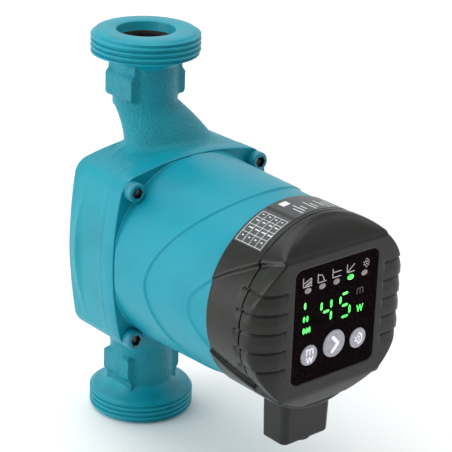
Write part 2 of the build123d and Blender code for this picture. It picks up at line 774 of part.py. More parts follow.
def boards():
    """Power board, display board and what is soldered to them."""
    with BuildPart() as power_board:
        with BuildSketch(ahead(BOARD_BACK)):
            Circle(BOARD_R)
            for angle in PIN_ANGLES:
                with Locations(around(PIN_RADIUS, angle)):
                    Circle(0.8 + FIT, mode=Mode.SUBTRACT)
            for angle in BOSS_ANGLES:
                with Locations(around(BOSS_RADIUS, angle)):
                    Circle(BOARD_SCREW_R + FIT, mode=Mode.SUBTRACT)
        extrude(amount=BOARD_FRONT - BOARD_BACK)
    keep(power_board, "power_board")
    with BuildPart() as board_screws:
        for angle in BOSS_ANGLES:
            with BuildSketch(ahead(BASE_FLOOR + 1.5)):
                with Locations(around(BOSS_RADIUS, angle)):
                    Circle(BOARD_SCREW_R)
            extrude(amount=BOARD_FRONT - BASE_FLOOR - 1.4)
            with BuildSketch(ahead(BOARD_FRONT + FIT)):
                with Locations(around(BOSS_RADIUS, angle)):
                    Circle(2.6)
            extrude(amount=1.8)
    keep(board_screws, "board_screws")
    with BuildPart() as base_screws:
        for angle in BASE_SCREW_ANGLES:
            with BuildSketch(ahead(SHELL_END + 0.5)):
                with Locations(around(BASE_SCREW_RADIUS, angle)):
                    Circle(BASE_SCREW_R)
            extrude(amount=BASE_FLOOR - SHELL_END)
            with BuildSketch(ahead(BASE_FLOOR + FIT)):
                with Locations(around(BASE_SCREW_RADIUS, angle)):
                    Circle(3.4)
            extrude(amount=2.4)
    keep(base_screws, "base_screws")
    with BuildPart() as power_module:
        with BuildSketch(ahead(BASE_FLOOR + 1 + FIT)):
            with Locations((0, -6)):
                RectangleRounded(30, 20, 1)
        extrude(amount=BOARD_BACK - BASE_FLOOR - 1 - 2 * FIT)
    keep(power_module, "power_module")
    with BuildPart() as thermal_pad:
        with BuildSketch(ahead(BASE_FLOOR + FIT)):
            with Locations((0, -6)):
                RectangleRounded(32, 22, 1)
        extrude(amount=1 - FIT)
    keep(thermal_pad, "thermal_pad")
    with BuildPart() as capacitors:
        with BuildSketch(ahead(BOARD_FRONT + FIT)):
            with Locations((-18, 8), (-18, -5), (-6, -2)):
                Circle(5)
        extrude(amount=13)
        fillet(capacitors.edges().filter_by(GeomType.CIRCLE), 0.6)
    keep(capacitors, "capacitors")
    with BuildPart() as choke:
        with BuildSketch(ahead(BOARD_FRONT + FIT)):
            with Locations((15, 2)):
                Circle(9)
                Circle(3.6, mode=Mode.SUBTRACT)
        extrude(amount=8)
        fillet(choke.edges().filter_by(GeomType.CIRCLE), 1.5)
    keep(choke, "choke")
    with BuildPart() as transformer:
        with BuildSketch(ahead(BOARD_FRONT + FIT)):
            with Locations((8, -18)):
                RectangleRounded(16, 13, 1)
        extrude(amount=12)
    keep(transformer, "transformer")
    with BuildPart() as link:
        with BuildSketch(ahead(BOARD_FRONT + FIT)):
            with Locations((-4, 20)):
                Rectangle(18, 4)
        extrude(amount=DISPLAY_BACK - BOARD_FRONT - 2 * FIT)
    keep(link, "board_connector")
    with BuildPart() as display_board:
        with BuildSketch(ahead(DISPLAY_BACK)):
            with Locations((0, (PANEL_HIGH + PANEL_LOW) / 2)):
                RectangleRounded(48.4, 50.4, 3)
        extrude(amount=DISPLAY_FRONT - DISPLAY_BACK)
    keep(display_board, "display_board")


def display_parts():
    """Digit block, lamps and switches on the display board."""
    with BuildPart() as digits:
        with BuildSketch(ahead(DISPLAY_FRONT + FIT)):
            with Locations((0, 4.4)):
                RectangleRounded(21, 13, 0.6)
        extrude(amount=5.4)
    keep(digits, "digit_display")
    with BuildPart() as lamps:
        with BuildSketch(ahead(DISPLAY_FRONT + FIT)):
            with Locations((-0.4, LED_Z)):
                with GridLocations(LED_PITCH, 0, 5, 1):
                    Ellipse(1.9, 1.3)
        extrude(amount=4.5)
        with BuildSketch(ahead(DISPLAY_FRONT + FIT)):
            with Locations((LEVEL_X, 4.0)):
                with GridLocations(0, LEVEL_PITCH, 1, 3):
                    Rectangle(3.2, 3.0)
            with Locations((13.6, 1.0), (13.4, 8.5)):
                Rectangle(3.4, 3.0)
        extrude(amount=4.5)
    keep(lamps, "status_leds")
    with BuildPart() as switches:
        for x, z, _ in BUTTONS.values():
            with BuildSketch(ahead(DISPLAY_FRONT + FIT)):
                with Locations((x, z)):
                    RectangleRounded(6, 6, 0.4)
            extrude(amount=3.0)
            with BuildSketch(ahead(DISPLAY_FRONT + 3)):
                with Locations((x, z)):
                    Circle(1.6)
            extrude(amount=SWITCH_TOP - DISPLAY_FRONT - 3)
    keep(switches, "tact_switches")


def rating_label():
    """Thin label wrapped over the base ring."""
    with BuildPart() as label:
        revolve(
            half_section(rectangle_points(SHELL_FRONT + 0.9, PARTING - 2.2, HEAD_R + 0.01, HEAD_R + 0.16)),
            axis=MOTOR_AXIS,
        )
        with BuildSketch(ahead(SHELL_FRONT)):
            with BuildLine():
                Polyline((0, 0), around(70, 66), around(80, 100), around(70, 133), close=True)
            make_face()
        extrude(amount=30, mode=Mode.INTERSECT)
    keep(label, "rating_label")


# ---------------------------------------------------------------- mains plug
def plug_outline(z, inset=0.0):
    """Rounded rectangle of the plug at a height from the motor axis."""
    with BuildSketch(level(z)) as outline:
        with Locations((0, -(PLUG_BACK + PLUG_FRONT) / 2)):
            RectangleRounded(
                2 * (PLUG_HALF_X - inset),
                PLUG_FRONT - PLUG_BACK - 2 * inset,
                PLUG_CORNER_R - inset / 2,
            )
    return outline.sketch


def spigot_outline(z, gap=0.0):
    with BuildSketch(level(z)) as outline:
        with Locations((0, -(SPIGOT_BACK + SPIGOT_FRONT) / 2)):
            Rectangle(2 * (SPIGOT_HALF_X + gap), SPIGOT_FRONT - SPIGOT_BACK + 2 * gap)
    return outline.sketch


def contact_spots(z, radius):
    """Three circles, one for each conductor."""
    with BuildSketch(level(z)) as spots:
        with Locations((0, -(SPIGOT_BACK + SPIGOT_FRONT) / 2)):
            with GridLocations(CONTACT_PITCH, 0, 3, 1):
                Circle(radius)
    return spots.sketch


def plug_pieces():
    """Plug body with its lid, contacts and cable grommet, and the socket in the head."""
    middle = -(PLUG_BACK + PLUG_FRONT) / 2
    lid_front = PLUG_BACK + PLUG_WALL
    with BuildPart() as plug:
        loft([plug_outline(PLUG_BOTTOM, 0.5).face(), plug_outline(-36).face()])
        revolve(
            half_section(rectangle_points(90, 120, 0, HEAD_R + CLEAR)),
            axis=MOTOR_AXIS,
            mode=Mode.SUBTRACT,
        )
        extrude(spigot_outline(-46), amount=46 + SPIGOT_TOP)
        # wiring space, open to the back where the lid closes it
        with BuildSketch(level(PLUG_BOTTOM + PLUG_FLOOR)):
            with Locations((0, middle - 0.5)):
                RectangleRounded(2 * (PLUG_HALF_X - PLUG_WALL - 0.5), 9.6, 1.5)
        extrude(amount=11.5, mode=Mode.SUBTRACT)
        extrude(contact_spots(-49, CONTACT_R), amount=20, mode=Mode.SUBTRACT)
        with BuildSketch(level(PLUG_BOTTOM - 1)):
            with Locations((0, middle)):
                Circle(GROMMET_R)
        extrude(amount=PLUG_FLOOR + 2, mode=Mode.SUBTRACT)
        # lid recess
        with BuildSketch(ahead(PLUG_BACK - 3)):
            with Locations((0, (PLUG_BOTTOM - 46) / 2)):
                Rectangle(2 * (PLUG_HALF_X - 2.6), -46 - PLUG_BOTTOM - 4)
        extrude(amount=lid_front - PLUG_BACK + 3.2, mode=Mode.SUBTRACT)
        with BuildSketch(ahead(PLUG_BACK)):
            with Locations((0, -46)):
                Circle(1.2 + FIT)
        extrude(amount=5, mode=Mode.SUBTRACT)
    keep(plug, "plug_housing")
    with BuildPart() as lid:
        with BuildSketch(ahead(PLUG_BACK + 0.4)):
            with Locations((0, (PLUG_BOTTOM - 46) / 2)):
                Rectangle(2 * (PLUG_HALF_X - 2.7), -46 - PLUG_BOTTOM - 4.2)
        extrude(amount=lid_front - PLUG_BACK - 0.5)
    keep(lid, "plug_lid")
    with BuildPart() as contacts:
        extrude(contact_spots(-49, CONTACT_R - FIT), amount=49 + SPIGOT_TOP - 0.4)
        extrude(contact_spots(-44, MAINS_PIN_R + 0.3), amount=20, mode=Mode.SUBTRACT)
    keep(contacts, "plug_contacts")
    with BuildPart() as grommet:
        with BuildSketch(level(PLUG_BOTTOM - 0.3)):
            with Locations((0, middle)):
                Circle(GROMMET_R + 1.2)
        extrude(amount=0.3 - FIT)
        with BuildSketch(level(PLUG_BOTTOM - FIT)):
            with Locations((0, middle)):
                Circle(GROMMET_R - FIT)
        extrude(amount=PLUG_FLOOR)
        with BuildSketch(level(PLUG_BOTTOM - 3)):
            with Locations((0, middle)):
                Circle(CABLE_R)
        extrude(amount=10, mode=Mode.SUBTRACT)
    keep(grommet, "cable_grommet")
    with BuildPart() as socket:
        with BuildSketch(level(-36.6)):
            with Locations((0, -(BOARD_FRONT + FIT + LEDGE_BACK - 0.1) / 2)):
                Rectangle(21, LEDGE_BACK - 0.1 - BOARD_FRONT - FIT)
        extrude(amount=8.6)
        extrude(spigot_outline(-37, 0.4), amount=4, mode=Mode.SUBTRACT)
        extrude(contact_spots(-34, MAINS_PIN_R + FIT), amount=10, mode=Mode.SUBTRACT)
    keep(socket, "mains_socket")
    with BuildPart() as pins:
        extrude(contact_spots(-40, MAINS_PIN_R), amount=13)
    keep(pins, "mains_pins")


# ---------------------------------------------------------------- build
os.makedirs("parts", exist_ok=True)
pump_housing()
flange_screws()
housing_o_ring()
bearing_plate()
rotor_pieces()
rotor_can()
bearings()
motor_housing()
stator_core()
stator_coils()
terminals()
control_base()
control_cover()
ring("cover_seal", SEAL_BACK + FIT, SEAL_FRONT, HEAD_BORE - 1.6, HEAD_BORE - FIT)
display_panel()
for button_name in BUTTONS:
    button(button_name)
boards()
display_parts()
rating_label()
plug_pieces()
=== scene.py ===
"""Circulator pump: the finished surfaces, display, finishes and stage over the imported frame."""

import functools
import math

import bmesh
import bpy
import numpy as np
from bpy.props import FloatProperty, FloatVectorProperty, IntProperty, PointerProperty
from mathutils import Matrix, Vector


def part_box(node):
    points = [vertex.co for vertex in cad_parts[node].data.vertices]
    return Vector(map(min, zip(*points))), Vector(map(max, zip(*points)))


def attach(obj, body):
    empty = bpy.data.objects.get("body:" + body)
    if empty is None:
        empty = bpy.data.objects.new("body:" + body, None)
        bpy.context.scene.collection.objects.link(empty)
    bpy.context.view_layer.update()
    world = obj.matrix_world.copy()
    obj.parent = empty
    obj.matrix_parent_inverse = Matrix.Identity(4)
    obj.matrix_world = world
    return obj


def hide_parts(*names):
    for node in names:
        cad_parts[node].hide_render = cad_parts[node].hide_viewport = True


bl_info = {
    "name": "Circulator Pump",
    "version": (1, 0, 0),
    "blender": (4, 5, 0),
    "location": "3D View > Sidebar > Pump",
    "description": "Builds the visible pieces and finishes of a heating circulator pump",
    "category": "Add Mesh",
}

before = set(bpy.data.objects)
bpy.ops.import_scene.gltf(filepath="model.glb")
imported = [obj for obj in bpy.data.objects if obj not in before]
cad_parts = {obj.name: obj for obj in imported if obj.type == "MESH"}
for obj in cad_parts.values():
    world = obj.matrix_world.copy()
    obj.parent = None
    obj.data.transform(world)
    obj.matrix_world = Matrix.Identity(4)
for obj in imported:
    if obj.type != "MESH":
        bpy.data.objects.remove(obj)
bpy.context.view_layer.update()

# Places in millimetres. "Ahead" is the distance from the port axis towards the control head (-Y),
# "level" is the height above the motor axis.
AXIS = 500 * (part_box("rotor_can")[0].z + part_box("rotor_can")[1].z)
HOUSING_FRONT = -1000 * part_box("pump_housing")[0].y
FLANGE_FRONT = HOUSING_FRONT + 7.0
SHELL_FRONT = -1000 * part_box("motor_housing")[0].y
PANEL_FRONT = -1000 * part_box("display_panel")[0].y
CHEEK_START = 81.1  # where the cheeks start on the motor's sides
SPIGOT = 104.8  # middle of the plug's spigot
PARTING = 112.8  # joint between the head's base and its cover
PLATEAU = 125.3  # flat front of the head
HEAD_R = 41.35
SHELL_REAR_R = 43.2
SHELL_FRONT_R = 41.4
FLANGE_SIDE = 43.3  # square flange: from the axis to the middle of a side,
FLANGE_CORNER = 37.9  # and along each axis to its corner
NECK_R = 14.3
BORE_R = 11.5
FLANGE_BACK = 10.5  # back of a port's flange, from its face
FACE_EDGE = 29.2  # level where the head's face bends away, above and below
PANEL_HALF_X, PANEL_HALF_Z, PANEL_LEVEL = 22.4, 24.65, 0.55
SUCTION_R, SUCTION = 9.5, [(0, 0, -66), (0, 0, -58), (0, 8, -38), (0, 8, 0), (0, -2, 0)]
DISCHARGE_R, DISCHARGE = 8.5, [(0, 0, 66), (0, 0, 58), (0, -13.5, 42), (0, -13.5, 24)]
BUTTONS = {
    "button_left": (-13.2, -12.7, 4.4),
    "button_centre": (0.3, -11.3, 5.9),
    "button_right": (13.6, -12.6, 4.4),
}


# ---------------------------------------------------------------- colour and nodes
def rgba(value):
    """Linear RGBA of an sRGB hex code, or of a colour that is linear already."""
    if not isinstance(value, str):
        return (*value[:3], 1.0)
    parts = [int(value[k : k + 2], 16) / 255 for k in (1, 3, 5)]
    return (*(p / 12.92 if p <= 0.04045 else ((p + 0.055) / 1.055) ** 2.4 for p in parts), 1.0)


def add_node(tree, kind, inputs=None, **settings):
    """Adds a node. An input given as a socket is linked, and any other value is set."""
    node = tree.nodes.new(kind)
    for name, value in settings.items():
        setattr(node, name, value)
    for name, value in (inputs or {}).items():
        if isinstance(value, bpy.types.NodeSocket):
            tree.links.new(value, node.inputs[name])
        else:
            node.inputs[name].default_value = value
    return node


def start_material(name, **shader_values):
    """A material with a Principled shader: returns it, its tree, the shader and Object coordinates."""
    material = bpy.data.materials.new(name)
    material.use_nodes = True
    tree = material.node_tree
    tree.nodes.clear()
    values = {key.replace("_", " "): value for key, value in shader_values.items()}
    shader = add_node(tree, "ShaderNodeBsdfPrincipled", values)
    add_node(tree, "ShaderNodeOutputMaterial", {"Surface": shader.outputs["BSDF"]})
    place = add_node(tree, "ShaderNodeTexCoord").outputs["Object"]
    return material, tree, shader, place


def mottle(tree, place, size_mm, detail=2.0, rough=0.5):
    """Noise whose blotches are about size_mm across."""
    values = {"Vector": place, "Scale": 1000 / size_mm, "Detail": detail, "Roughness": rough}
    return add_node(tree, "ShaderNodeTexNoise", values).outputs["Fac"]


def blend_colours(tree, factor, first, second, low=0.35, high=0.65):
    """Two colours mixed by a noise value, from low to high."""
    ramp = add_node(tree, "ShaderNodeValToRGB", {"Fac": factor})
    for element, position, value in zip(ramp.color_ramp.elements, (low, high), (first, second)):
        element.position = position
        element.color = rgba(value)
    return ramp.outputs["Color"]


def map_range(tree, value, from_low, from_high, low, high):
    """A value moved from one range to another."""
    values = {"Value": value, "From Min": from_low, "From Max": from_high, "To Min": low, "To Max": high}
    return add_node(tree, "ShaderNodeMapRange", values).outputs["Result"]


def spread(tree, factor, low, high):
    """A noise value spread over a range, for roughness."""
    return map_range(tree, factor, 0.3, 0.7, low, high)


def arithmetic(tree, operation, *values):
    """Result of a math node."""
    return add_node(tree, "ShaderNodeMath", dict(enumerate(values)), operation=operation).outputs[0]


def relief(tree, height, depth_mm, below=None):
    """Bump of depth_mm over a height value, on top of another bump."""
    values = {"Height": height, "Distance": depth_mm / 1000, "Strength": 1.0}
    if below is not None:
        values["Normal"] = below
    return add_node(tree, "ShaderNodeBump", values).outputs["Normal"]


def link(tree, shader, **sockets):
    """Links results to the shader's sockets."""
    for name, socket in sockets.items():
        tree.links.new(socket, shader.inputs[name.replace("_", " ")])


# ---------------------------------------------------------------- finishes
def enamelled_cast_iron(settings):
    """Sand-cast iron under sprayed enamel: satin colour over the sand's grain, coarser on the necks."""
    material, tree, shader, place = start_material("enamelled cast iron", Specular_IOR_Level=0.3)
    grain = mottle(tree, place, settings.grain * 1000, 3.0, 0.6)
    patches = mottle(tree, place, 22.0)
    # the necks and hoods keep more of the sand's grain than the drum
    height = add_node(tree, "ShaderNodeSeparateXYZ", {"Vector": place}).outputs["Z"]
    away = arithmetic(tree, "ABSOLUTE", arithmetic(tree, "SUBTRACT", height, AXIS / 1000))
    sand = arithmetic(tree, "MULTIPLY", grain, map_range(tree, away, 0.036, 0.05, 0.22, 1.0))
    link(tree, shader, Base_Color=blend_colours(tree, patches, "#037f90", settings.paint, 0.2, 0.62),
         Roughness=spread(tree, grain, 0.36, 0.5),
         Normal=relief(tree, sand, settings.grain_depth * 1000, relief(tree, patches, 0.25)))
    return material


def enamelled_thread(settings):
    """Enamel over a turned thread: the same colour, smooth, with faint turning marks."""
    material, tree, shader, place = start_material("enamelled turned iron", Specular_IOR_Level=0.3)
    patches = mottle(tree, place, 9.0, 3.0)
    link(tree, shader, Base_Color=blend_colours(tree, patches, "#058495", settings.paint, 0.25, 0.6),
         Roughness=spread(tree, patches, 0.34, 0.46), Normal=relief(tree, mottle(tree, place, 0.5), 0.03))
    return material


def bare_iron():
    """Unpainted cast iron inside the passages: near black, rough, with brown scale."""
    material, tree, shader, place = start_material("bare cast iron", Metallic=0.35, IOR=1.5)
    scale = mottle(tree, place, 1.6, 4.0, 0.65)
    link(tree, shader, Base_Color=blend_colours(tree, scale, "#0c0b0a", "#2a211b"),
         Roughness=spread(tree, scale, 0.6, 0.85), Normal=relief(tree, scale, 0.3))
    return material


def enamelled_aluminium(settings):
    """Die-cast aluminium shell under sprayed enamel: smooth satin with the faintest orange peel."""
    material, tree, shader, place = start_material("enamelled die-cast aluminium", Specular_IOR_Level=0.3)
    patches = mottle(tree, place, 30.0)
    peel = mottle(tree, place, 1.4)
    link(tree, shader, Base_Color=blend_colours(tree, patches, "#038093", settings.paint, 0.2, 0.6),
         Roughness=spread(tree, peel, 0.36, 0.44),
         Normal=relief(tree, peel, 0.02, relief(tree, patches, 0.12)))
    return material


def glass_filled_nylon(settings):
    """Moulded glass-filled nylon: greenish black, satin, with the mould's fine spark texture."""
    material, tree, shader, place = start_material("glass-filled nylon", IOR=1.53, Specular_IOR_Level=0.32)
    cloud = mottle(tree, place, 14.0, 3.0)
    # the spark texture is about 0.1 mm; it is drawn at 0.5 mm so that it shows
    texture = mottle(tree, place, 0.5)
    link(tree, shader, Base_Color=blend_colours(tree, cloud, "#0f120e", settings.plastic, 0.3, 0.7),
         Roughness=spread(tree, cloud, 0.24, 0.33),
         Normal=relief(tree, texture, 0.012, relief(tree, cloud, 0.05)))
    return material


def printed_film(settings):
    """Printed polyester film: matt purple-black with a fine dither of lighter ink dots."""
    values = {"IOR": 1.57, "Roughness": 0.5, "Specular_IOR_Level": 0.0}
    material, tree, shader, place = start_material("printed polyester film", **values)
    dots = mottle(tree, place, 0.55, 1.0, 0.7)
    link(tree, shader, Base_Color=blend_colours(tree, dots, settings.film, "#231a1e", 0.42, 0.72),
         Normal=relief(tree, dots, 0.01))
    return material


def glowing_lens(name, shade, strength):
    """Diffusing lens over a lit diode: bright in the middle of the segment, tinted at its edge. It also
    paints a glow on the printed button symbols, which have no lamp behind them.
    """
    material, tree, shader, place = start_material(name, IOR=1.5, Roughness=0.3, Emission_Strength=strength)
    shade = rgba(shade)
    bright = [min(1.0, part + 0.16) for part in shade[:3]]
    tint = blend_colours(tree, mottle(tree, place, 1.6, 1.0), shade, bright)
    link(tree, shader, Base_Color=tint, Emission_Color=tint)
    return material


def plain_finish(name, light, dark, grain_mm, rough, depth_mm=0.01, metallic=0.0, ior=1.5):
    """Finish of one material: two shades at its grain size, a roughness range and a shallow relief."""
    material, tree, shader, place = start_material(name, Metallic=metallic, IOR=ior)
    grain = mottle(tree, place, grain_mm, 3.0, 0.55)
    link(tree, shader, Base_Color=blend_colours(tree, grain, dark, light),
         Roughness=spread(tree, grain, *rough), Normal=relief(tree, grain, depth_mm))
    return material


def banded_metal(name, metallic, bands, dark, light, low, high, rough, depth_mm):
    """Metal in fine bands across the motor axis, such as wound wire or stacked sheets."""
    material, tree, shader, place = start_material(name, Metallic=metallic)
    values = {"Vector": place, **bands}
    wave = add_node(tree, "ShaderNodeTexWave", values, bands_direction="Y").outputs["Fac"]
    link(tree, shader, Base_Color=blend_colours(tree, wave, dark, light, low, high),
         Roughness=spread(tree, wave, *rough), Normal=relief(tree, wave, depth_mm))
    return material


def drawn_steel():
    """Drawn stainless steel: hairlines round the motor axis under a soft shine."""
    material, tree, shader, place = start_material("drawn stainless steel", Metallic=1.0)
    values = {"Vector": place, "Scale": (0.15, 4.0, 0.15)}
    hair = mottle(tree, add_node(tree, "ShaderNodeMapping", values).outputs["Vector"], 1.2, 3.0)
    link(tree, shader, Base_Color=blend_colours(tree, hair, "#a5a8ab", "#cfd1d3"),
         Roughness=spread(tree, hair, 0.2, 0.34), Normal=relief(tree, hair, 0.01))
    return material


METAL = {"metallic": 1.0}
WEAVE = {"depth_mm": 0.02}
CERAMIC = {"ior": 1.76}
# Pieces inside the pump: CAD nodes, material, light and dark shade, grain in millimetres and range of
# roughness, then what else the finish needs.
INNER = [
    ("housing_o_ring cover_seal cable_grommet", "EPDM rubber", "#2a2a29", "#161616", 0.8, (0.6, 0.8), {}),
    ("rear_bearing front_bearing", "alumina ceramic", "#e9e4d8", "#d3cdbf", 0.6, (0.25, 0.4), CERAMIC),
    ("shaft", "polished ceramic", "#efece4", "#dcd7cb", 0.9, (0.12, 0.2), CERAMIC),
    ("thrust_ring", "sintered carbon", "#2e3032", "#17181a", 0.5, (0.35, 0.5), {}),
    ("bearing_carrier", "moulded PPS", "#4a3f33", "#372f27", 1.2, (0.4, 0.55), {}),
    ("rotor_magnet", "sintered ferrite", "#45474a", "#2c2e30", 0.5, (0.55, 0.7), {}),
    ("impeller impeller_shroud", "moulded PES", "#d8cdb0", "#c2b594", 1.5, (0.35, 0.5), {}),
    ("winding_bobbins terminal_block", "moulded PBT", "#e3dfd2", "#cec8b8", 2.0, (0.35, 0.5), {}),
    ("power_board display_board", "solder resist", "#1f6a41", "#14492c", 0.9, (0.25, 0.4), WEAVE),
    ("power_module digit_display", "moulded epoxy", "#26272a", "#17181a", 0.6, (0.4, 0.55), {}),
    ("thermal_pad", "silicone pad", "#9fa6ad", "#868e96", 0.7, (0.6, 0.75), {}),
    ("capacitors", "sleeved aluminium", "#3b3f7a", "#272a55", 3.0, (0.25, 0.4), {}),
    ("choke", "powder-coated core", "#d6a92c", "#b08418", 0.7, (0.45, 0.6), {}),
    ("transformer", "polyester tape", "#e3c34a", "#c8a637", 2.0, (0.3, 0.45), {}),
    ("board_connector", "nylon connector", "#e8e6df", "#d2cfc5", 1.5, (0.35, 0.5), {}),
    ("status_leds", "frosted polycarbonate", "#d8d2c6", "#bdb5a6", 0.8, (0.3, 0.45), {"ior": 1.58}),
    ("tact_switches", "moulded switch nylon", "#232323", "#141414", 0.8, (0.35, 0.5), {}),
    ("mains_socket", "moulded polyamide", "#8d9297", "#70757a", 1.5, (0.4, 0.55), {}),
    ("winding_pins mains_pins plug_contacts", "turned brass", "#d9b35c", "#b58d3e", 0.5, (0.22, 0.35), METAL),
    ("rotor_yoke board_screws base_screws", "zinc-plated steel", "#c5c8cc", "#9a9da2", 0.9, (0.28, 0.42),
     METAL),
]


# ---------------------------------------------------------------- meshes
def finish_piece(name, points_mm, faces, materials, body, slot, nodes=(), smooth=40.0, recalculate=True):
    """Mesh object from millimetre points in the row frame, riding on its body and standing for its nodes."""
    mesh = bpy.data.meshes.new(name)
    points = np.asarray(points_mm, float) / 1000
    mesh.from_pydata(points.tolist(), [], [list(face) for face in faces])
    for material in materials:
        mesh.materials.append(material)
    if recalculate:
        shape = bmesh.new()
        shape.from_mesh(mesh)
        bmesh.ops.recalc_face_normals(shape, faces=shape.faces)
        shape.to_mesh(mesh)
        shape.free()
    mesh.shade_smooth()
    mesh.set_sharp_from_angle(angle=math.radians(smooth))
    piece = bpy.data.objects.new(name, mesh)
    bpy.context.scene.collection.objects.link(piece)
    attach(piece, body)
    if nodes:
        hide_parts(*nodes)
    return piece


def skinned_piece(name, field, low, high, step, materials, body, slot, node):
    """Piece over a field of (x, -ahead, level), standing for one CAD node."""
    points, faces = skin(field, low, high, step)
    points = points + (0, 0, AXIS)
    return finish_piece(name, points, faces, materials, body, slot, [node], 50, recalculate=False)


def dress_node(name, material):
    """Gives a CAD node its one material."""
    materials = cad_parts[name].data.materials
    materials.clear()
    materials.append(material)


def paint_faces(piece, index, chosen):
    """Gives the material of that index to the faces whose centre (x, ahead, level) passes the test."""
    mesh = piece.data
    centre = np.zeros(len(mesh.polygons) * 3)
    mesh.polygons.foreach_get("center", centre)
    x, y, z = centre.reshape(-1, 3).T * 1000
    slots = np.where(chosen(x, -y, z - AXIS), index, 0).astype(np.int32)
    mesh.polygons.foreach_set("material_index", slots)
    mesh.update()


def skin(field, low, high, step):
    """Closed quads over a field's zero surface, on the first grid where every edge has two faces."""
    best = None
    for shift in (0.0, 0.37, 0.61, 0.83, 0.19):
        points, quads = skin_on_grid(field, np.array(low) - shift * step, high, step)
        edges = np.concatenate([quads[:, [k, (k + 1) % 4]] for k in range(4)])
        code = edges.min(axis=1) * len(points) + edges.max(axis=1)
        shared = np.unique(code, return_counts=True)[1]
        bad = np.count_nonzero(shared != 2)
        if best is None or bad < best[0]:
            best = (bad, points, quads)
        if bad == 0:
            break
    return settle(field, best[1], step), best[2]


def skin_on_grid(field, low, high, step):
    """Quads over the zero surface of a field that is negative inside, in millimetres."""
    axes = [np.arange(low[k], high[k] + step, step) for k in range(3)]
    value = field(*np.meshgrid(*axes, indexing="ij"))
    inside = value < 0
    nx, ny, nz = (n - 1 for n in value.shape)
    corners = [(i, j, k) for i in (0, 1) for j in (0, 1) for k in (0, 1)]
    filled = sum(inside[i : i + nx, j : j + ny, k : k + nz].astype(np.int8) for i, j, k in corners)
    active = (filled > 0) & (filled < 8)
    number = np.full(active.shape, -1, np.int64)
    number[active] = np.arange(active.sum())
    cell = np.argwhere(active)
    total = np.zeros((len(cell), 3))
    hits = np.zeros(len(cell))
    for axis in range(3):
        unit = np.eye(3, dtype=int)[axis]
        for corner in corners:
            if corner[axis]:
                continue
            start = cell + corner
            end = start + unit
            a = value[tuple(start.T)]
            b = value[tuple(end.T)]
            cross = (a < 0) != (b < 0)
            share = a[cross] / (a[cross] - b[cross])
            total[cross] += np.array(corner) + share[:, None] * unit
            hits[cross] += 1
    points = np.array(low) + step * (cell + total / hits[:, None])
    faces = []
    for axis in range(3):
        unit, side, other = np.roll(np.eye(3, dtype=int), -axis, axis=0)
        near = inside[: nx + (axis != 0), : ny + (axis != 1), : nz + (axis != 2)]
        far = inside[unit[0] :, unit[1] :, unit[2] :]
        edge = np.argwhere(near != far)
        keep = np.all((edge - side - other >= 0) & (edge < (nx, ny, nz)), axis=1)
        edge = edge[keep]
        ring = [edge, edge - side, edge - side - other, edge - other]
        quads = np.stack([number[tuple(spot.T)] for spot in ring], axis=1)
        outward = near[tuple(edge.T)]
        quads[~outward] = quads[~outward][:, ::-1]
        faces.append(quads)
    return points, np.concatenate(faces)


def settle(field, points, step):
    """Moves points along the field's slope onto its zero surface, by less than half a step."""
    small = step * 0.2
    for _ in range(2):
        here = field(*points.T)
        slope = np.empty_like(points)
        for axis in range(3):
            shift = np.zeros(3)
            shift[axis] = small
            slope[:, axis] = (field(*(points + shift).T) - field(*(points - shift).T)) / (2 * small)
        length = np.sum(slope * slope, axis=1) + 0.05
        move = -slope * (here / length)[:, None]
        size = np.linalg.norm(move, axis=1)
        limit = np.minimum(1.0, 0.4 * step / np.maximum(size, 1e-9))
        points = points + move * limit[:, None]
    return points


def common(*fields):
    """What several fields share."""
    return functools.reduce(np.maximum, fields)


def either(*fields):
    """Several fields together."""
    return functools.reduce(np.minimum, fields)


def rounded(a, b, radius):
    """What two fields share, with its edge rounded."""
    u = np.maximum(a + radius, 0)
    v = np.maximum(b + radius, 0)
    return np.minimum(-radius, np.maximum(a, b)) + np.sqrt(u * u + v * v)


def filleted(a, b, radius):
    """Two fields together, with a fillet where they meet."""
    u = np.maximum(radius - a, 0)
    v = np.maximum(radius - b, 0)
    return np.maximum(radius, np.minimum(a, b)) - np.sqrt(u * u + v * v)


def ease(value):
    """Smooth step from 0 to 1."""
    t = np.clip(value, 0, 1)
    return t * t * (3 - 2 * t)


def rod(x, y, z, start, end, radius):
    """Field of a round-ended rod between two points."""
    start = np.array(start, float)
    along = np.array(end, float) - start
    dx, dy, dz = x - start[0], y - start[1], z - start[2]
    t = np.clip((dx * along[0] + dy * along[1] + dz * along[2]) / along.dot(along), 0, 1)
    return np.sqrt((dx - t * along[0]) ** 2 + (dy - t * along[1]) ** 2 + (dz - t * along[2]) ** 2) - radius


def pipe(x, y, z, path, radius):
    """Field of a round pipe along a path of points."""
    return either(*(rod(x, y, z, start, end, radius) for start, end in zip(path[:-1], path[1:])))


def around(count):
    """Angles at even steps once round."""
    return np.linspace(0, 2 * np.pi, count, endpoint=False)


def wrap(rows, closed=False):
    """Points and faces of rings of points, one ring to the next, closed to a loop or capped by poles."""
    rows = [np.asarray(row, float) for row in rows]
    count = len(rows[0])
    points = np.concatenate(rows)
    faces = []
    for k in range(len(rows) if closed else len(rows) - 1):
        a = k * count
        b = ((k + 1) % len(rows)) * count
        faces += [(a + i, a + (i + 1) % count, b + (i + 1) % count, b + i) for i in range(count)]
    if not closed:
        for k, row in ((0, rows[0]), (len(rows) - 1, rows[-1])):
            pole = len(points)
            points = np.vstack([points, row.mean(0)])
            faces += [(k * count + i, pole, k * count + (i + 1) % count) for i in range(count)]
    return points, faces


def ring_ahead(ahead, radius, angles, x=0.0, level=0.0):
    """Ring of points round an axis parallel to the motor axis."""
    x_values = x + radius * np.cos(angles)
    z_values = AXIS + level + radius * np.sin(angles)
    return np.stack([x_values, np.full_like(angles, -ahead), z_values], axis=1)


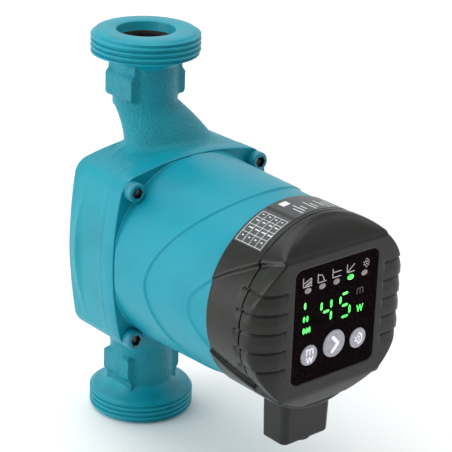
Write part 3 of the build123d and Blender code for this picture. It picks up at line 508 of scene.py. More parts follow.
def plate(outline, back, front):
    """Flat plate from an outline of (x, level) points, between two distances ahead."""
    outline = np.asarray(outline, float)
    count = len(outline)
    points = []
    for ahead in (back, front):
        points += [(x, -ahead, AXIS + z) for x, z in outline]
    faces = [tuple(range(count)), tuple(range(2 * count - 1, count - 1, -1))]
    faces += [(i, (i + 1) % count, count + (i + 1) % count, count + i) for i in range(count)]
    return np.array(points), faces


def joined(parts):
    """Several (points, faces) pairs as one."""
    points, faces, start = [], [], 0
    for part_points, part_faces in parts:
        points.append(np.asarray(part_points, float))
        faces += [tuple(start + i for i in face) for face in part_faces]
        start += len(part_points)
    return np.concatenate(points), faces


def stroke(start, end, width):
    """Outline of a round-ended stroke."""
    start, end = np.array(start, float), np.array(end, float)
    turn = math.atan2(end[1] - start[1], end[0] - start[0])
    outline = []
    for centre, first in ((end, -90), (start, 90)):
        for angle in range(first, first + 181, 36):
            a = turn + math.radians(angle)
            outline.append(centre + width / 2 * np.array([math.cos(a), math.sin(a)]))
    return outline


def bar(start, end, width):
    """Outline of a display segment: a bar with pointed ends."""
    start, end = np.array(start, float), np.array(end, float)
    along = (end - start) / np.linalg.norm(end - start)
    across = np.array([-along[1], along[0]]) * width / 2
    inner = along * width * 0.6
    first, last = start + inner, end - inner
    return [start, first - across, last - across, end, last + across, first + across]


# ---------------------------------------------------------------- shapes of the pump
def square_form(x, z, inset=0.0):
    """Field of the square flange's outline: four bulging sides with rounded corners."""
    rise = FLANGE_SIDE - FLANGE_CORNER
    radius = (FLANGE_CORNER * FLANGE_CORNER + rise * rise) / (2 * rise)
    middle = radius - FLANGE_SIDE
    across = np.hypot(np.abs(x) + middle, z) - radius + inset
    upright = np.hypot(x, np.abs(z) + middle) - radius
    return rounded(across, upright, 5.0)


def upper_hood(x, y, z):
    """Field of the discharge hood: it leans forward and to the right from the neck onto the drum."""
    t = np.clip((58 - z) / 22, 0, 1.2)
    half_x = NECK_R + 10.7 * t
    half_y = NECK_R - 3.4 * t + 2.3 * t * t
    q = np.hypot((x - 8.4 * t + 3.8 * t * t) / half_x, (y + 22.3 * t - 8.5 * t * t) / half_y)
    return np.maximum((q - 1) * np.minimum(half_x, half_y) * 0.85, 20 - z)


def lower_hood(x, y, z):
    """Field of the shorter hood into the lower neck."""
    t = np.clip((58 + z) / 22, 0, 1.2)
    half_x = NECK_R + 7.7 * t
    half_y = NECK_R + 3.7 * t
    q = np.hypot(x / half_x, (y + 5 * t) / half_y)
    return np.maximum((q - 1) * half_y * 0.85, 20 + z)


def ear(x, y, rise):
    """Field of the wrench block: wide flats, stepped in beside the flange."""
    half_x = np.interp(rise, [60, 62.5, 71.0, 73.2, 80], [14.2, 14.9, 14.9, 13.2, 13.2])
    block = rounded(np.abs(x) - half_x, np.abs(y) - 9.4, 0.5)
    return rounded(block, np.abs(rise - 71.0) - 10.0, 1.0)


def cavity_field(x, y, z):
    """The cast housing's impeller chamber, plate recess, eye and both passages."""
    reach = np.hypot(x, z)
    return either(
        common(reach - 33, y + 6, -y - 40),
        common(reach - 36.1, y + 23.6),
        common(reach - 13.5, y + 1, -y - 40),
        common(np.hypot(x, y) - BORE_R, 62 - np.abs(z)),
        pipe(x, y, z, SUCTION, SUCTION_R),
        pipe(x, y, z, DISCHARGE, DISCHARGE_R),
    )


def casting_field(x, y, z):
    """The cast housing. z is the level above the motor axis."""
    rise = np.abs(z)
    reach = np.hypot(x, z)
    # drum whose sides draw in towards the back, and the raised band beside the motor flange
    back = np.clip((y + HOUSING_FRONT) / HOUSING_FRONT, 0, 1)
    inset = 1.6 * back * np.clip(1 - (z / FLANGE_CORNER) ** 2, 0, 1)
    band = 0.2 * ease((-y - 24.2) / 0.9)
    drum = rounded(square_form(x, z, inset) - band + 0.2, y, 2.5)
    dome = common(rounded((reach - 35 + 0.788 * (y + 0.5)) * 0.785, y - 16, 5.0), -6 - y)
    body = filleted(drum, dome, 6.0)
    # suction passage behind the drum
    body = filleted(body, pipe(x, y, z, SUCTION[1:4], 13), 5.0)
    neck = common(np.hypot(x, y) - NECK_R, np.where(z > 0, 57, 34) - rise)
    body = filleted(body, either(upper_hood(x, y, z), lower_hood(x, y, z), neck), 2.0)
    body = filleted(body, ear(x, y, rise), 0.8)
    limits = common(rise - (AXIS - FLANGE_BACK + 0.2), -HOUSING_FRONT - y, np.abs(x) - (FLANGE_SIDE - 0.1))
    return common(body, limits, -cavity_field(x, y, z))


def cheek_top(ahead):
    """Level of the hood's lower edge: it opens forwards from a point on the motor's side."""
    run = np.clip((ahead - CHEEK_START) / 10.9, 0, None)
    curve = HEAD_R * np.sin(np.radians(20.3 * np.minimum(run, 2.975) ** 0.68))
    return curve + 0.3 * np.clip(ahead - 113.5, 0, None)


def cheek_depth(ahead, level):
    """How far the cheek lies inside the round form: deeper forwards, and deepest beside the hood's edge."""
    inset = cheek_top(ahead) - np.abs(level)
    depth = 0.55 * ease((ahead - CHEEK_START) / 3) + 0.55 * np.clip((ahead - 84) / 28.8, 0, 1)
    pocket = 0.2 * ease((ahead - 86) / 7) + 1.2 * np.clip((ahead - 93) / 19.8, 0, 1)
    pocket = pocket * (1 - 0.6 * ease((ahead - 113) / 8))
    depth = depth * (1 - 0.45 * ease((ahead - 114) / 6))
    width = 0.7 + 1.9 * ease((ahead - 94) / 14)
    return ease(inset / width) * (depth + pocket * np.exp(-np.clip(inset, 0, None) / 5.5))


def grip_depth(x, ahead, level):
    """Shingled finger grips on each side, crisp above and fading out below."""
    settings = bpy.context.scene.pump_head
    first = 17.6
    depth = np.zeros_like(x)
    for k in range(settings.grips):
        below = first - settings.grip_pitch * 1000 * k - level
        depth = np.maximum(depth, np.interp(below, [-0.15, 0.15, 0.6, 1.0, 4.9], [0, 1.0, 1.0, 0.55, 0]))
    reach = ease((np.abs(x) - 25.8) / 0.6) * ease((ahead - 109.4) / 1.4)
    return depth * reach * settings.grip_depth * 1000


def head_form(x, ahead, level):
    """The control head's outside: brow hood, inner face with rounded sides, and chin lip."""
    reach = np.hypot(x, level)
    edge = cheek_top(ahead)
    side = reach - HEAD_R
    # brow: an arched front that starts behind the face's upper bevel
    t = np.clip((level - 31.4) / 10.1, 0, 0.995)
    arch = 123.6 - 10.8 * (0.35 * t + 0.65 * (1 - np.sqrt(1 - t * t)))
    slope = 1.07 * (0.35 + 0.65 * t / np.sqrt(1 - t * t))
    brow = (ahead - arch) / np.sqrt(1 + slope * slope)
    brow = rounded(rounded(side, brow, 3.0), edge - level, 1.5)
    # chin: a narrow lip in front of the round form
    chin = rounded(rounded(side, ahead - 119.4, 1.2), edge + level, 0.5)
    # inner face, fuller at its right corner
    fullness = np.where(x > 0, 3.6, 2.0)
    u = np.maximum(np.abs(x) - 26.5, 0) / 13.7
    v = np.maximum(ahead - 113.5, 0) / 11.8
    face = ((u ** fullness + v ** fullness) ** (1 / fullness) - 1) * 11.8
    bevel = ((level - FACE_EDGE) * 1.9 + (ahead - PLATEAU) * 2.2) / 2.907
    drop = np.clip((-level - FACE_EDGE) / 8.5, 0, 1.2)
    lower = (ahead - PLATEAU + 3.8 * drop ** 1.25) * 0.9
    face = rounded(rounded(face, bevel, 0.5), lower, 0.6)
    inner_side = side + cheek_depth(ahead, level)
    chin_side = common(inner_side, reach - 39.6, -level - 37.7)
    inner_side = np.where((level < 0) & (-level > edge), chin_side, inner_side)
    face = np.where(ahead < 112, inner_side, rounded(inner_side, face, 0.8))
    return filleted(np.minimum(brow, chin), face, 0.7)


def panel_field(x, level, margin):
    """Field of the display panel's rounded rectangle, larger by the margin."""
    beside = np.abs(x) - PANEL_HALF_X - margin
    return rounded(beside, np.abs(level - PANEL_LEVEL) - PANEL_HALF_Z - margin, 3.6)


# ---------------------------------------------------------------- settings
def length(name, text, default_mm):
    return FloatProperty(name=name, description=text, default=default_mm / 1000, unit="LENGTH", precision=5)


def number(name, text, default, **limits):
    return FloatProperty(name=name, description=text, default=default, **limits)


def whole(name, text, default, **limits):
    return IntProperty(name=name, description=text, default=default, **limits)


def colour(name, text, code):
    values = {"default": rgba(code)[:3], "size": 3, "subtype": "COLOR", "min": 0, "max": 1}
    return FloatVectorProperty(name=name, description=text, **values)


class CastingSettings(bpy.types.PropertyGroup):
    paint: colour("Paint", "Enamel on the cast housing", "#058fa0")
    grain: length("Grain", "Size of the sand's grain under the enamel", 1.3)
    grain_depth: length("Grain depth", "Depth of the sand's grain", 1.0)
    step: length("Step", "Spacing of the housing's surface points", 0.95)


class ThreadSettings(bpy.types.PropertyGroup):
    paint: colour("Paint", "Enamel on the threaded ends", "#0793a5")
    crest: length("Crest radius", "Radius over the thread's crests", 23.9)
    root: length("Root radius", "Radius at the thread's root", 22.7)
    pitch: length("Pitch", "Distance from turn to turn", 2.309)
    columns: whole("Columns", "Points round each end", 160, min=32)


class ShellSettings(bpy.types.PropertyGroup):
    paint: colour("Paint", "Enamel on the motor shell", "#058da1")
    sweep_back: length("Sweep back", "Where the swept step crosses the sides, ahead of the port axis", 55.8)
    sweep_front: length("Sweep front", "Where the swept step crosses the top, ahead of the port axis", 84.0)
    sweep_depth: length("Sweep depth", "Height of the swept step", 0.75)
    columns: whole("Columns", "Points round the shell", 384, min=64)


class ScrewSettings(bpy.types.PropertyGroup):
    paint: colour("Paint", "Enamel on the screw heads", "#07869b")
    spacing: length("Spacing", "Distance between screws across the flange", 67.4)
    head_radius: length("Head radius", "Radius of the screw head", 4.25)
    head_height: length("Head height", "Height of the screw head", 4.4)
    socket_radius: length("Socket radius", "Hexagon socket, centre to corner", 2.5)


class HeadSettings(bpy.types.PropertyGroup):
    plastic: colour("Plastic", "Moulded plastic of the control head", "#161a15")
    grips: whole("Grips", "Finger grips on each side", 5, min=0, max=7)
    grip_pitch: length("Grip pitch", "Distance from grip to grip", 8.05)
    grip_depth: length("Grip depth", "Depth of a grip at its upper edge", 1.0)
    step: length("Step", "Spacing of the cover's surface points", 0.45)


class DisplaySettings(bpy.types.PropertyGroup):
    film: colour("Film", "Ink of the display film", "#0a0708")
    lit: colour("Lit", "Colour of lit segments", "#14e63a")
    print_colour: colour("Print", "Printed symbols", "#d6d0d4")
    lamp_pitch: length("Lamp pitch", "Distance from lamp to lamp", 7.65)
    lamps: whole("Lamps", "Lamps in the upper row", 5, min=1, max=5)
    lit_lamp: whole("Lit lamp", "Which lamp of the row is lit, from 0", 3, min=0, max=4)
    glow: number("Glow", "Brightness of lit segments", 0.95, min=0)


class ButtonSettings(bpy.types.PropertyGroup):
    cap: colour("Cap", "Button caps", "#b4b4be")
    symbol: colour("Symbol", "Symbols on the caps", "#dcdce4")
    crown: length("Crown", "Height of the cap's crown", 0.22)


class LabelSettings(bpy.types.PropertyGroup):
    foil: colour("Foil", "Ground colour of the label", "#454a4b")
    ink: colour("Ink", "Printed lines and blocks", "#e4e7e7")
    rule: length("Rule", "Width of the ruled lines", 0.2)


class StageSettings(bpy.types.PropertyGroup):
    floor: colour("Floor", "Colour of the floor", "#fbfbfa")
    azimuth: number("Azimuth", "Camera azimuth in degrees; 0 looks along +Y", -40.85)
    elevation: number("Elevation", "Camera height angle in degrees", 21.80)
    roll: number("Roll", "Camera roll in degrees", 1.97)
    distance: length("Distance", "Camera to the motor axis", 751.05)
    lens: number("Lens", "Focal length in millimetres on a 36 mm sensor", 133.03)
    key: number("Key light", "Power of the top softbox in watts", 12.5, unit="POWER")
    fill: number("Fill light", "Power of the side softbox in watts", 4.5, unit="POWER")
    sky: number("Sky", "Strength of the white surroundings", 0.9, min=0)
    dark_sky: number("Dark sky", "Strength of the surroundings in front", 0.3, min=0)


SETTINGS = {
    "pump_casting": CastingSettings,
    "pump_thread": ThreadSettings,
    "pump_shell": ShellSettings,
    "pump_screw": ScrewSettings,
    "pump_head": HeadSettings,
    "pump_display": DisplaySettings,
    "pump_button": ButtonSettings,
    "pump_label": LabelSettings,
    "pump_stage": StageSettings,
}


# ---------------------------------------------------------------- operators
class PUMP_OT_cast_housing(bpy.types.Operator):
    """Cast housing with drum, hoods, necks, wrench blocks and passages"""

    bl_idname = "pump.cast_housing"
    bl_label = "Cast housing"

    def execute(self, context):
        settings = context.scene.pump_casting
        piece = skinned_piece("housing_casting", casting_field, (-45.0, -30.0, -81.0), (45.0, 23.0, 81.0),
                              settings.step * 1000, [enamelled_cast_iron(settings), bare_iron()],
                              "pump_body", "cast_teal", "pump_housing")
        paint_faces(piece, 1, lambda x, ahead, level: cavity_field(x, -ahead, level) < 0.5)
        return {"FINISHED"}


# Profiles of a threaded end on both sides of the thread: distance from the port's face and radius.
FLARE = [(15.6, 11.7), (15.6, 13.9), (14.4, 14.5), (12.9, 15.6), (11.7, 17.6), (10.9, 20.2), (10.6, 22.2)]
FLARE += [(10.4, 22.65)]
MOUTH = [(0.62, 22.3), (0.22, 21.85), (0.0, 21.3), (0.0, 17.0), (0.0, 13.3), (0.15, 12.95), (0.5, 12.8)]
MOUTH += [(3.9, 12.8), (4.2, 12.6), (5.1, 11.8), (5.4, 11.7)]


class PUMP_OT_union_ends(bpy.types.Operator):
    """Threaded ends of both ports, each one turned thread on its flange"""

    bl_idname = "pump.union_ends"
    bl_label = "Threaded ends"

    def execute(self, context):
        settings = context.scene.pump_thread
        angles = around(settings.columns)
        crest, root, pitch = settings.crest * 1000, settings.root * 1000, settings.pitch * 1000
        start, end = 0.9, 10.3
        materials = [enamelled_thread(settings), bare_iron()]

        def in_mouth(x, ahead, level):
            return (np.hypot(x, ahead) < 12.5) & (np.abs(level) < AXIS - 4.1)

        thread = []
        for height in np.arange(start + 0.1, end, 0.16)[::-1]:
            phase = (height - 1.55) / pitch - angles / (2 * np.pi)
            ridge = ease((0.86 - np.abs(phase - np.round(phase)) * 2) / 0.62)
            fade = ease((height - start) / 0.7) * ease((end - height) / 0.5)
            thread.append((height, root + (crest - root) * ridge * fade))
        for name, foot, way in (("lower_threaded_end", 0.0, 1.0), ("upper_threaded_end", 2 * AXIS, -1.0)):
            rings = []
            for height, radius in FLARE + thread + MOUTH:
                z = np.full_like(angles, foot + way * height)
                rings.append(np.stack([radius * np.cos(angles), radius * np.sin(angles), z], axis=1))
            points, faces = wrap(rings, closed=True)
            piece = finish_piece(name, points, faces, materials, "pump_body", "cast_teal",
                                 ["pump_housing"], 55)
            paint_faces(piece, 1, in_mouth)
        return {"FINISHED"}


class PUMP_OT_motor_shell(bpy.types.Operator):
    """Motor shell with its square flange, swept step and cheeks"""

    bl_idname = "pump.motor_shell"
    bl_label = "Motor shell"

    def execute(self, context):
        settings = context.scene.pump_shell
        angles = around(settings.columns)
        x_way, z_way = np.cos(angles), np.sin(angles)
        # the outline's radius at each angle, by halving
        near, far = np.full_like(angles, 30), np.full_like(angles, 60)
        for _ in range(30):
            middle = (near + far) / 2
            inside = square_form(middle * x_way, middle * z_way) < 0
            near, far = np.where(inside, middle, near), np.where(inside, far, middle)
        outline = near
        back_sweep, front_sweep = settings.sweep_back * 1000, settings.sweep_front * 1000
        sweep = back_sweep + (front_sweep - back_sweep) * np.abs(z_way) ** 1.65
        taper = (SHELL_REAR_R - SHELL_FRONT_R) / (SHELL_FRONT - FLANGE_FRONT)

        def barrel(ahead):
            radius = SHELL_REAR_R - taper * (ahead - FLANGE_FRONT)
            radius = radius - settings.sweep_depth * 1000 * ease((ahead - sweep + 0.55) / 1.1)
            return radius - cheek_depth(ahead, radius * z_way) * ease((ahead - 81) / 2)

        joint, face = HOUSING_FRONT, FLANGE_FRONT
        rows = [(88.0, 12.0), (88.0, 38.4), (joint + 5.0, 38.4), (joint + 3.7, 34.5), (joint + 0.6, 34.5)]
        rows += [(joint + 0.6, 36.3), (joint + 0.05, 36.3)]
        # a skirt laps the casting's front edge so that the joint hardly shows
        rows += [(joint + 0.05, outline - 1.2), (joint - 0.7, outline - 0.9), (joint - 0.75, outline - 0.06)]
        rows += [(joint - 0.4, outline), (face - 0.8, outline), (face - 0.35, outline - 0.12)]
        # flange face, then the raised lip where the barrel starts
        rows += [(face - 0.1, outline - 0.38)]
        rows += [(face - 0.4, np.minimum(outline - 0.9, 33.225 + 0.25 * outline))]
        lip = [(-0.4, 0.95, 43.85), (0.1, 0.75, 43.75), (0.3, 0.7, 43.6), (0.4, 0.65, 43.4)]
        lip += [(0.5, 0.6, 43.15)]
        rows += [(face + offset, np.minimum(outline - inset, radius)) for offset, inset, radius in lip]
        # barrel: even rows up to the swept step, close rows over it, even rows to the front
        first, last = face + 1.0, SHELL_FRONT - 0.45
        places = [first + (sweep - 0.9 - first) * share for share in np.linspace(0, 1, 20)]
        places += [sweep + offset for offset in (-0.55, -0.3, -0.1, 0.1, 0.3, 0.55, 0.9)]
        places += [sweep + 0.9 + (last - sweep - 0.9) * share for share in np.linspace(0, 1, 64)[1:]]
        rows += [(ahead, barrel(ahead)) for ahead in places]
        rows += [(SHELL_FRONT - 0.15, barrel(last) - 0.12), (SHELL_FRONT, barrel(last) - 0.42)]
        rows += [(SHELL_FRONT, 38.9), (92.0, 38.9), (92.0, 12.0)]
        points, faces = wrap([ring_ahead(ahead, radius, angles) for ahead, radius in rows])
        finish_piece("motor_shell", points, faces, [enamelled_aluminium(settings)], "pump_body", "shell_teal",
                     ["motor_housing"], 38)
        return {"FINISHED"}


def start_tree(name, inputs):
    """Node tree that takes a mesh and other inputs and gives a mesh: returns it and its inputs."""
    tree = bpy.data.node_groups.new(name, "GeometryNodeTree")
    for key, kind in {"Geometry": "Geometry", **inputs}.items():
        tree.interface.new_socket(key, in_out="INPUT", socket_type="NodeSocket" + kind)
    tree.interface.new_socket("Geometry", in_out="OUTPUT", socket_type="NodeSocketGeometry")
    return tree, add_node(tree, "NodeGroupInput").outputs


def end_tree(tree, mesh, points, material, chosen=None):
    """Puts copies of the mesh on the points, or on the chosen ones, and gives them the material."""
    placed = {"Points": points, "Instance": mesh}
    if chosen is not None:
        placed["Selection"] = chosen
    copies = add_node(tree, "GeometryNodeInstanceOnPoints", placed).outputs["Instances"]
    solid = add_node(tree, "GeometryNodeRealizeInstances", {"Geometry": copies}).outputs["Geometry"]
    coloured = add_node(tree, "GeometryNodeSetMaterial", {"Geometry": solid, "Material": material})
    add_node(tree, "NodeGroupOutput", {"Geometry": coloured.outputs["Geometry"]})
    return tree


def screw_tree(material):
    """Node tree: copies of the input mesh at the corners of an upright square."""
    inputs = dict.fromkeys(("Spacing", "Ahead", "Height"), "Float")
    tree, given = start_tree("Screws at the flange corners", inputs)
    size = {"Size X": given["Spacing"], "Size Y": given["Spacing"], "Vertices X": 2, "Vertices Y": 2}
    corners = add_node(tree, "GeometryNodeMeshGrid", size).outputs["Mesh"]
    back = arithmetic(tree, "MULTIPLY", given["Ahead"], -1.0)
    spot = add_node(tree, "ShaderNodeCombineXYZ", {"Y": back, "Z": given["Height"]}).outputs[0]
    upright = {"Geometry": corners, "Translation": spot, "Rotation": (math.pi / 2, 0, 0)}
    points = add_node(tree, "GeometryNodeTransform", upright).outputs["Geometry"]
    return end_tree(tree, given["Geometry"], points, material)


def lamp_tree(material):
    """Node tree: copies of the input mesh along a row, with one place kept or left out."""
    inputs = {"Pitch": "Float", "Count": "Int", "Special": "Int", "Keep special": "Bool"}
    tree, given = start_tree("Lamps in a row", inputs)
    gaps = arithmetic(tree, "SUBTRACT", given["Count"], 1.0)
    left = arithmetic(tree, "MULTIPLY", arithmetic(tree, "MULTIPLY", gaps, given["Pitch"]), -0.5)
    start = add_node(tree, "ShaderNodeCombineXYZ", {"X": left}).outputs[0]
    step = add_node(tree, "ShaderNodeCombineXYZ", {"X": given["Pitch"]}).outputs[0]
    values = {"Count": given["Count"], "Start Location": start, "Offset": step}
    row = add_node(tree, "GeometryNodeMeshLine", values).outputs["Mesh"]
    number = {2: add_node(tree, "GeometryNodeInputIndex").outputs[0], 3: given["Special"]}
    same = add_node(tree, "FunctionNodeCompare", number, data_type="INT", operation="EQUAL").outputs[0]
    wanted = {0: same, 1: given["Keep special"]}
    chosen = add_node(tree, "FunctionNodeBooleanMath", wanted, operation="XNOR").outputs[0]
    return end_tree(tree, given["Geometry"], row, material, chosen)


def run_tree(name, points_mm, faces, tree, values):
    """Runs a node tree over a small mesh and returns the result as points in millimetres and faces."""
    mesh = bpy.data.meshes.new(name)
    mesh.from_pydata((np.asarray(points_mm, float) / 1000).tolist(), [], [list(face) for face in faces])
    source = bpy.data.objects.new(name, mesh)
    bpy.context.scene.collection.objects.link(source)
    modifier = source.modifiers.new("Repeat", "NODES")
    modifier.node_group = tree
    sockets = {item.name: item.identifier for item in tree.interface.items_tree if item.in_out == "INPUT"}
    for key, value in values.items():
        modifier[sockets[key]] = value
    bpy.context.view_layer.update()
    result = bpy.data.meshes.new_from_object(source.evaluated_get(bpy.context.evaluated_depsgraph_get()))
    source.modifiers.remove(modifier)
    points = [1000 * vertex.co for vertex in result.vertices]
    found = [tuple(polygon.vertices) for polygon in result.polygons]
    bpy.data.objects.remove(source)
    return np.array([tuple(p) for p in points]), found


class PUMP_OT_flange_screws(bpy.types.Operator):
    """Four socket head cap screws at the corners of the motor flange"""

    bl_idname = "pump.flange_screws"
    bl_label = "Flange screws"

    def execute(self, context):
        settings = context.scene.pump_screw
        angles = around(48)
        head, high = settings.head_radius * 1000, settings.head_height * 1000
        socket, spot = settings.socket_radius * 1000, settings.spacing * 500
        turn = np.mod(angles, np.pi / 3) - np.pi / 6
        hexagon = socket * math.cos(math.pi / 6) / np.cos(turn)
        # thread and head, then the socket
        rows = [(-22.7, 2.0), (-22.0, 2.45), (-0.4, 2.45), (-0.4, head - 0.35), (0.0, head)]
        rows += [(high - 1.1, head), (high - 0.55, head - 0.16), (high - 0.18, head - 0.48)]
        rows += [(high, head - 0.95), (high, socket + 0.4), (high - 0.15, hexagon + 0.08)]
        rows += [(high - 0.4, hexagon), (high - 2.4, hexagon), (high - 2.9, 0.8)]
        points, faces = wrap([ring_ahead(ahead, radius, angles, level=-AXIS) for ahead, radius in rows])
        paint = plain_finish("enamelled screw steel", settings.paint, "#047287", 2.5, (0.35, 0.5))
        oiled = plain_finish("oiled socket steel", "#77787a", "#0d0d0e", 2.2, (0.2, 0.35), metallic=0.9)
        values = {"Spacing": settings.spacing, "Ahead": FLANGE_FRONT / 1000, "Height": AXIS / 1000}
        points, faces = run_tree("one_screw", points, faces, screw_tree(paint), values)
        piece = finish_piece("flange_screw_set", points, faces, [paint, oiled], "pump_body", "screw_teal",
                             ["flange_screws"], 45)

        def in_socket(x, ahead, level):
            deep = (ahead > FLANGE_FRONT) & (ahead < FLANGE_FRONT + high - 0.1)
            return deep & (np.hypot(np.abs(x) - spot, np.abs(level) - spot) < socket + 0.02)

        paint_faces(piece, 1, in_socket)
        return {"FINISHED"}


def base_field(x, y, z):
    """Round tub behind the cover: seat in the shell, floor, wall and the opening for the plug."""
    ahead = -y
    reach = np.hypot(x, z)
    wall = common(reach - HEAD_R + cheek_depth(ahead, z) + grip_depth(x, ahead, z), -38.0)
    body = rounded(rounded(wall, ahead - (PARTING - 0.18), 0.35), SHELL_FRONT + 0.12 - ahead, 0.35)
    body = either(body, common(reach - 38.85, 92.03 - ahead, ahead - 95))
    hollow = common(reach - 36.9, 94.8 - ahead)
    opening = common(np.abs(x) - 9.4, np.abs(ahead - SPIGOT) - 2.8, z + 34)
    return common(body, -either(hollow, opening))


class PUMP_OT_head_base(bpy.types.Operator):
    """Base tub of the control head"""

    bl_idname = "pump.head_base"
    bl_label = "Head base"

    def execute(self, context):
        material = glass_filled_nylon(context.scene.pump_head)
        skinned_piece("head_base", base_field, (-42.5, -PARTING - 0.7, -42.5), (42.5, -90.9, 42.5), 0.5,
                      [material], "pump_body", "head_black", "control_base")
        return {"FINISHED"}


def cover_field(x, y, z):
    """Hollow front cover with grips, panel pocket and window."""
    ahead = -y
    form = head_form(x, ahead, z)
    outside = rounded(form + grip_depth(x, ahead, z), PARTING + 0.18 - ahead, 0.35)
    inside = common(form + 2.4, PARTING - 1 - ahead)
    pocket = common(panel_field(x, z, 0.12), 123.75 - ahead)
    window = common(panel_field(x, z, -2.2), 117 - ahead)
    return common(outside, -either(inside, pocket, window))


class PUMP_OT_head_cover(bpy.types.Operator):
    """Front cover of the control head"""

    bl_idname = "pump.head_cover"
    bl_label = "Head cover"

    def execute(self, context):
        low, high = (-42.3, -PLATEAU - 0.8, -42.3), (42.3, -PARTING + 0.6, 42.3)
        skinned_piece("head_cover", cover_field, low, high, context.scene.pump_head.step * 1000,
                      [bpy.data.materials["glass-filled nylon"]], "pump_body", "head_black", "control_cover")
        return {"FINISHED"}


# Lines of the symbols above the lamps, as points to run through.
ICONS = [
    # rising band: an axis with a hatched strip
    [(-18.4, 21.6), (-18.4, 17.8), (-13.9, 17.8)],
    [(-18.2, 19.3), (-14.1, 21.0), (-14.1, 18.4)],
    [(-17.4, 18.2), (-14.3, 19.9)],
    [(-16.0, 18.2), (-14.3, 19.1)],
    # falling curve
    [(-10.6, 21.6), (-10.6, 17.9), (-6.2, 17.9)],
    [(-10.4, 21.1), (-8.9, 21.0), (-7.9, 20.1), (-7.1, 17.8)],
    # two level lines
    [(-2.7, 21.6), (-2.7, 18.0), (1.7, 18.0)],
    [(-2.7, 20.2), (1.7, 20.2)],
    # rising line
    [(5.1, 21.6), (5.1, 18.2), (9.1, 18.2)],
    [(5.3, 18.4), (9.0, 21.2)],
]

DIGITS = [
    # 4
    ((-7.9, 8.9), (-7.9, 5.2)), ((-7.0, 4.2), (-3.4, 4.4)),
    ((-2.6, 8.9), (-2.6, 5.1)), ((-2.5, 3.8), (-2.5, -0.1)),
    # 5
    ((3.1, 9.4), (6.6, 9.5)), ((2.4, 8.8), (2.4, 5.3)), ((3.3, 4.3), (6.8, 4.4)), ((7.7, 3.9), (7.7, 0.0)),
    ((3.3, -0.7), (7.2, -0.6)),
    # level marks in the left column: one, two and three bars
    ((-16.8, 11.2), (-16.8, 8.0)),
    ((-17.0, 5.2), (-17.0, 2.4)), ((-15.3, 5.2), (-15.3, 2.4)),
    ((-16.9, 0.2), (-16.9, -2.7)), ((-15.4, 0.2), (-15.4, -2.7)), ((-13.9, 0.2), (-13.9, -2.7)),
]


def through(spots):
    """Strokes from each point to the next."""
    return list(zip(spots[:-1], spots[1:]))


def unit_m(x, level, wide, tall):
    """Strokes of a small m."""
    top = level + tall
    outline = [(x, level), (x, top), (x + wide, top), (x + wide, level)]
    return through(outline) + [((x + wide / 2, top), (x + wide / 2, level))]


def unit_w(x, level, wide, tall):
    """Strokes of a small w."""
    return through([(x + wide * k / 4, level if k % 2 else level + tall) for k in range(5)])


def sun_icon(x, level, size):
    """Strokes of a small sun beside an arc."""
    def spot(shift, reach, degrees):
        angle = math.radians(degrees)
        return x + size * (shift + reach * math.cos(angle)), level + size * reach * math.sin(angle)

    rays = [(spot(0, 0.28, angle), spot(0, 0.5, angle)) for angle in range(30, 390, 60)]
    return rays + through([spot(0.05, 0.8, angle) for angle in range(-80, 81, 20)])


def printed(strokes, width, back, front):
    """Raised strokes as one mesh."""
    return joined([plate(stroke(start, end, width), back, front) for start, end in strokes])


class PUMP_OT_display(bpy.types.Operator):
    """Display film, its printed symbols, lamps, digits and level marks"""

    bl_idname = "pump.display"
    bl_label = "Display"

    def execute(self, context):
        settings = context.scene.pump_display
        dress_node("display_panel", printed_film(settings))
        ink = plain_finish("white screen-print ink", settings.print_colour, "#b9b2b6", 0.5, (0.4, 0.55))
        dim = plain_finish("unlit segment lens", "#6d5f60", "#574b4d", 0.6, (0.35, 0.5))
        lens = plain_finish("unlit lamp lens", "#a5989a", "#8b7e80", 0.9, (0.3, 0.45))
        lit = glowing_lens("lit segment lens", settings.lit, settings.glow)
        back, front = PANEL_FRONT - 0.05, PANEL_FRONT + 0.04
        symbols = [line for icon in ICONS for line in through(icon)] + sun_icon(15.2, 19.9, 2.3)
        segments = [plate(bar(start, end, 1.15), back, front + 0.02) for start, end in DIGITS]
        segments.append(printed(unit_w(11.9, -0.4, 3.2, 2.6), 0.5, back, front + 0.02))
        for name, shape, material, slot in (
            ("panel_print", printed(symbols, 0.38, back, front), ink, "panel_film"),
            ("unlit_unit", printed(unit_m(11.5, 7.4, 3.2, 2.3), 0.36, back, front), dim, "panel_film"),
            ("lit_segments", joined(segments), lit, "led_lens"),
        ):
            finish_piece(name, *shape, [material], "pump_body", slot)
        # lamps of the upper row: low domed ovals
        half_x, half_z, level, angles = 1.75, 1.2, 15.9, around(24)
        rings = []
        for share, rise in ((1.0, -0.05), (1.0, 0.03), (0.9, 0.1), (0.7, 0.15), (0.4, 0.18)):
            x, z = half_x * share * np.cos(angles), half_z * share * np.sin(angles)
            rings.append(np.stack([x, np.full_like(x, -PANEL_FRONT - rise), AXIS + level + z], axis=1))
        points, faces = wrap(rings)
        values = {"Pitch": settings.lamp_pitch, "Count": settings.lamps, "Special": settings.lit_lamp}
        for name, material, special in (("unlit_lamps", lens, False), ("lit_lamp", lit, True)):
            values["Keep special"] = special
            shape = run_tree(name, points - (0.4, 0, 0), faces, lamp_tree(material), values)
            finish_piece(name, *shape, [material], "pump_body", "led_lens")
        return {"FINISHED"}


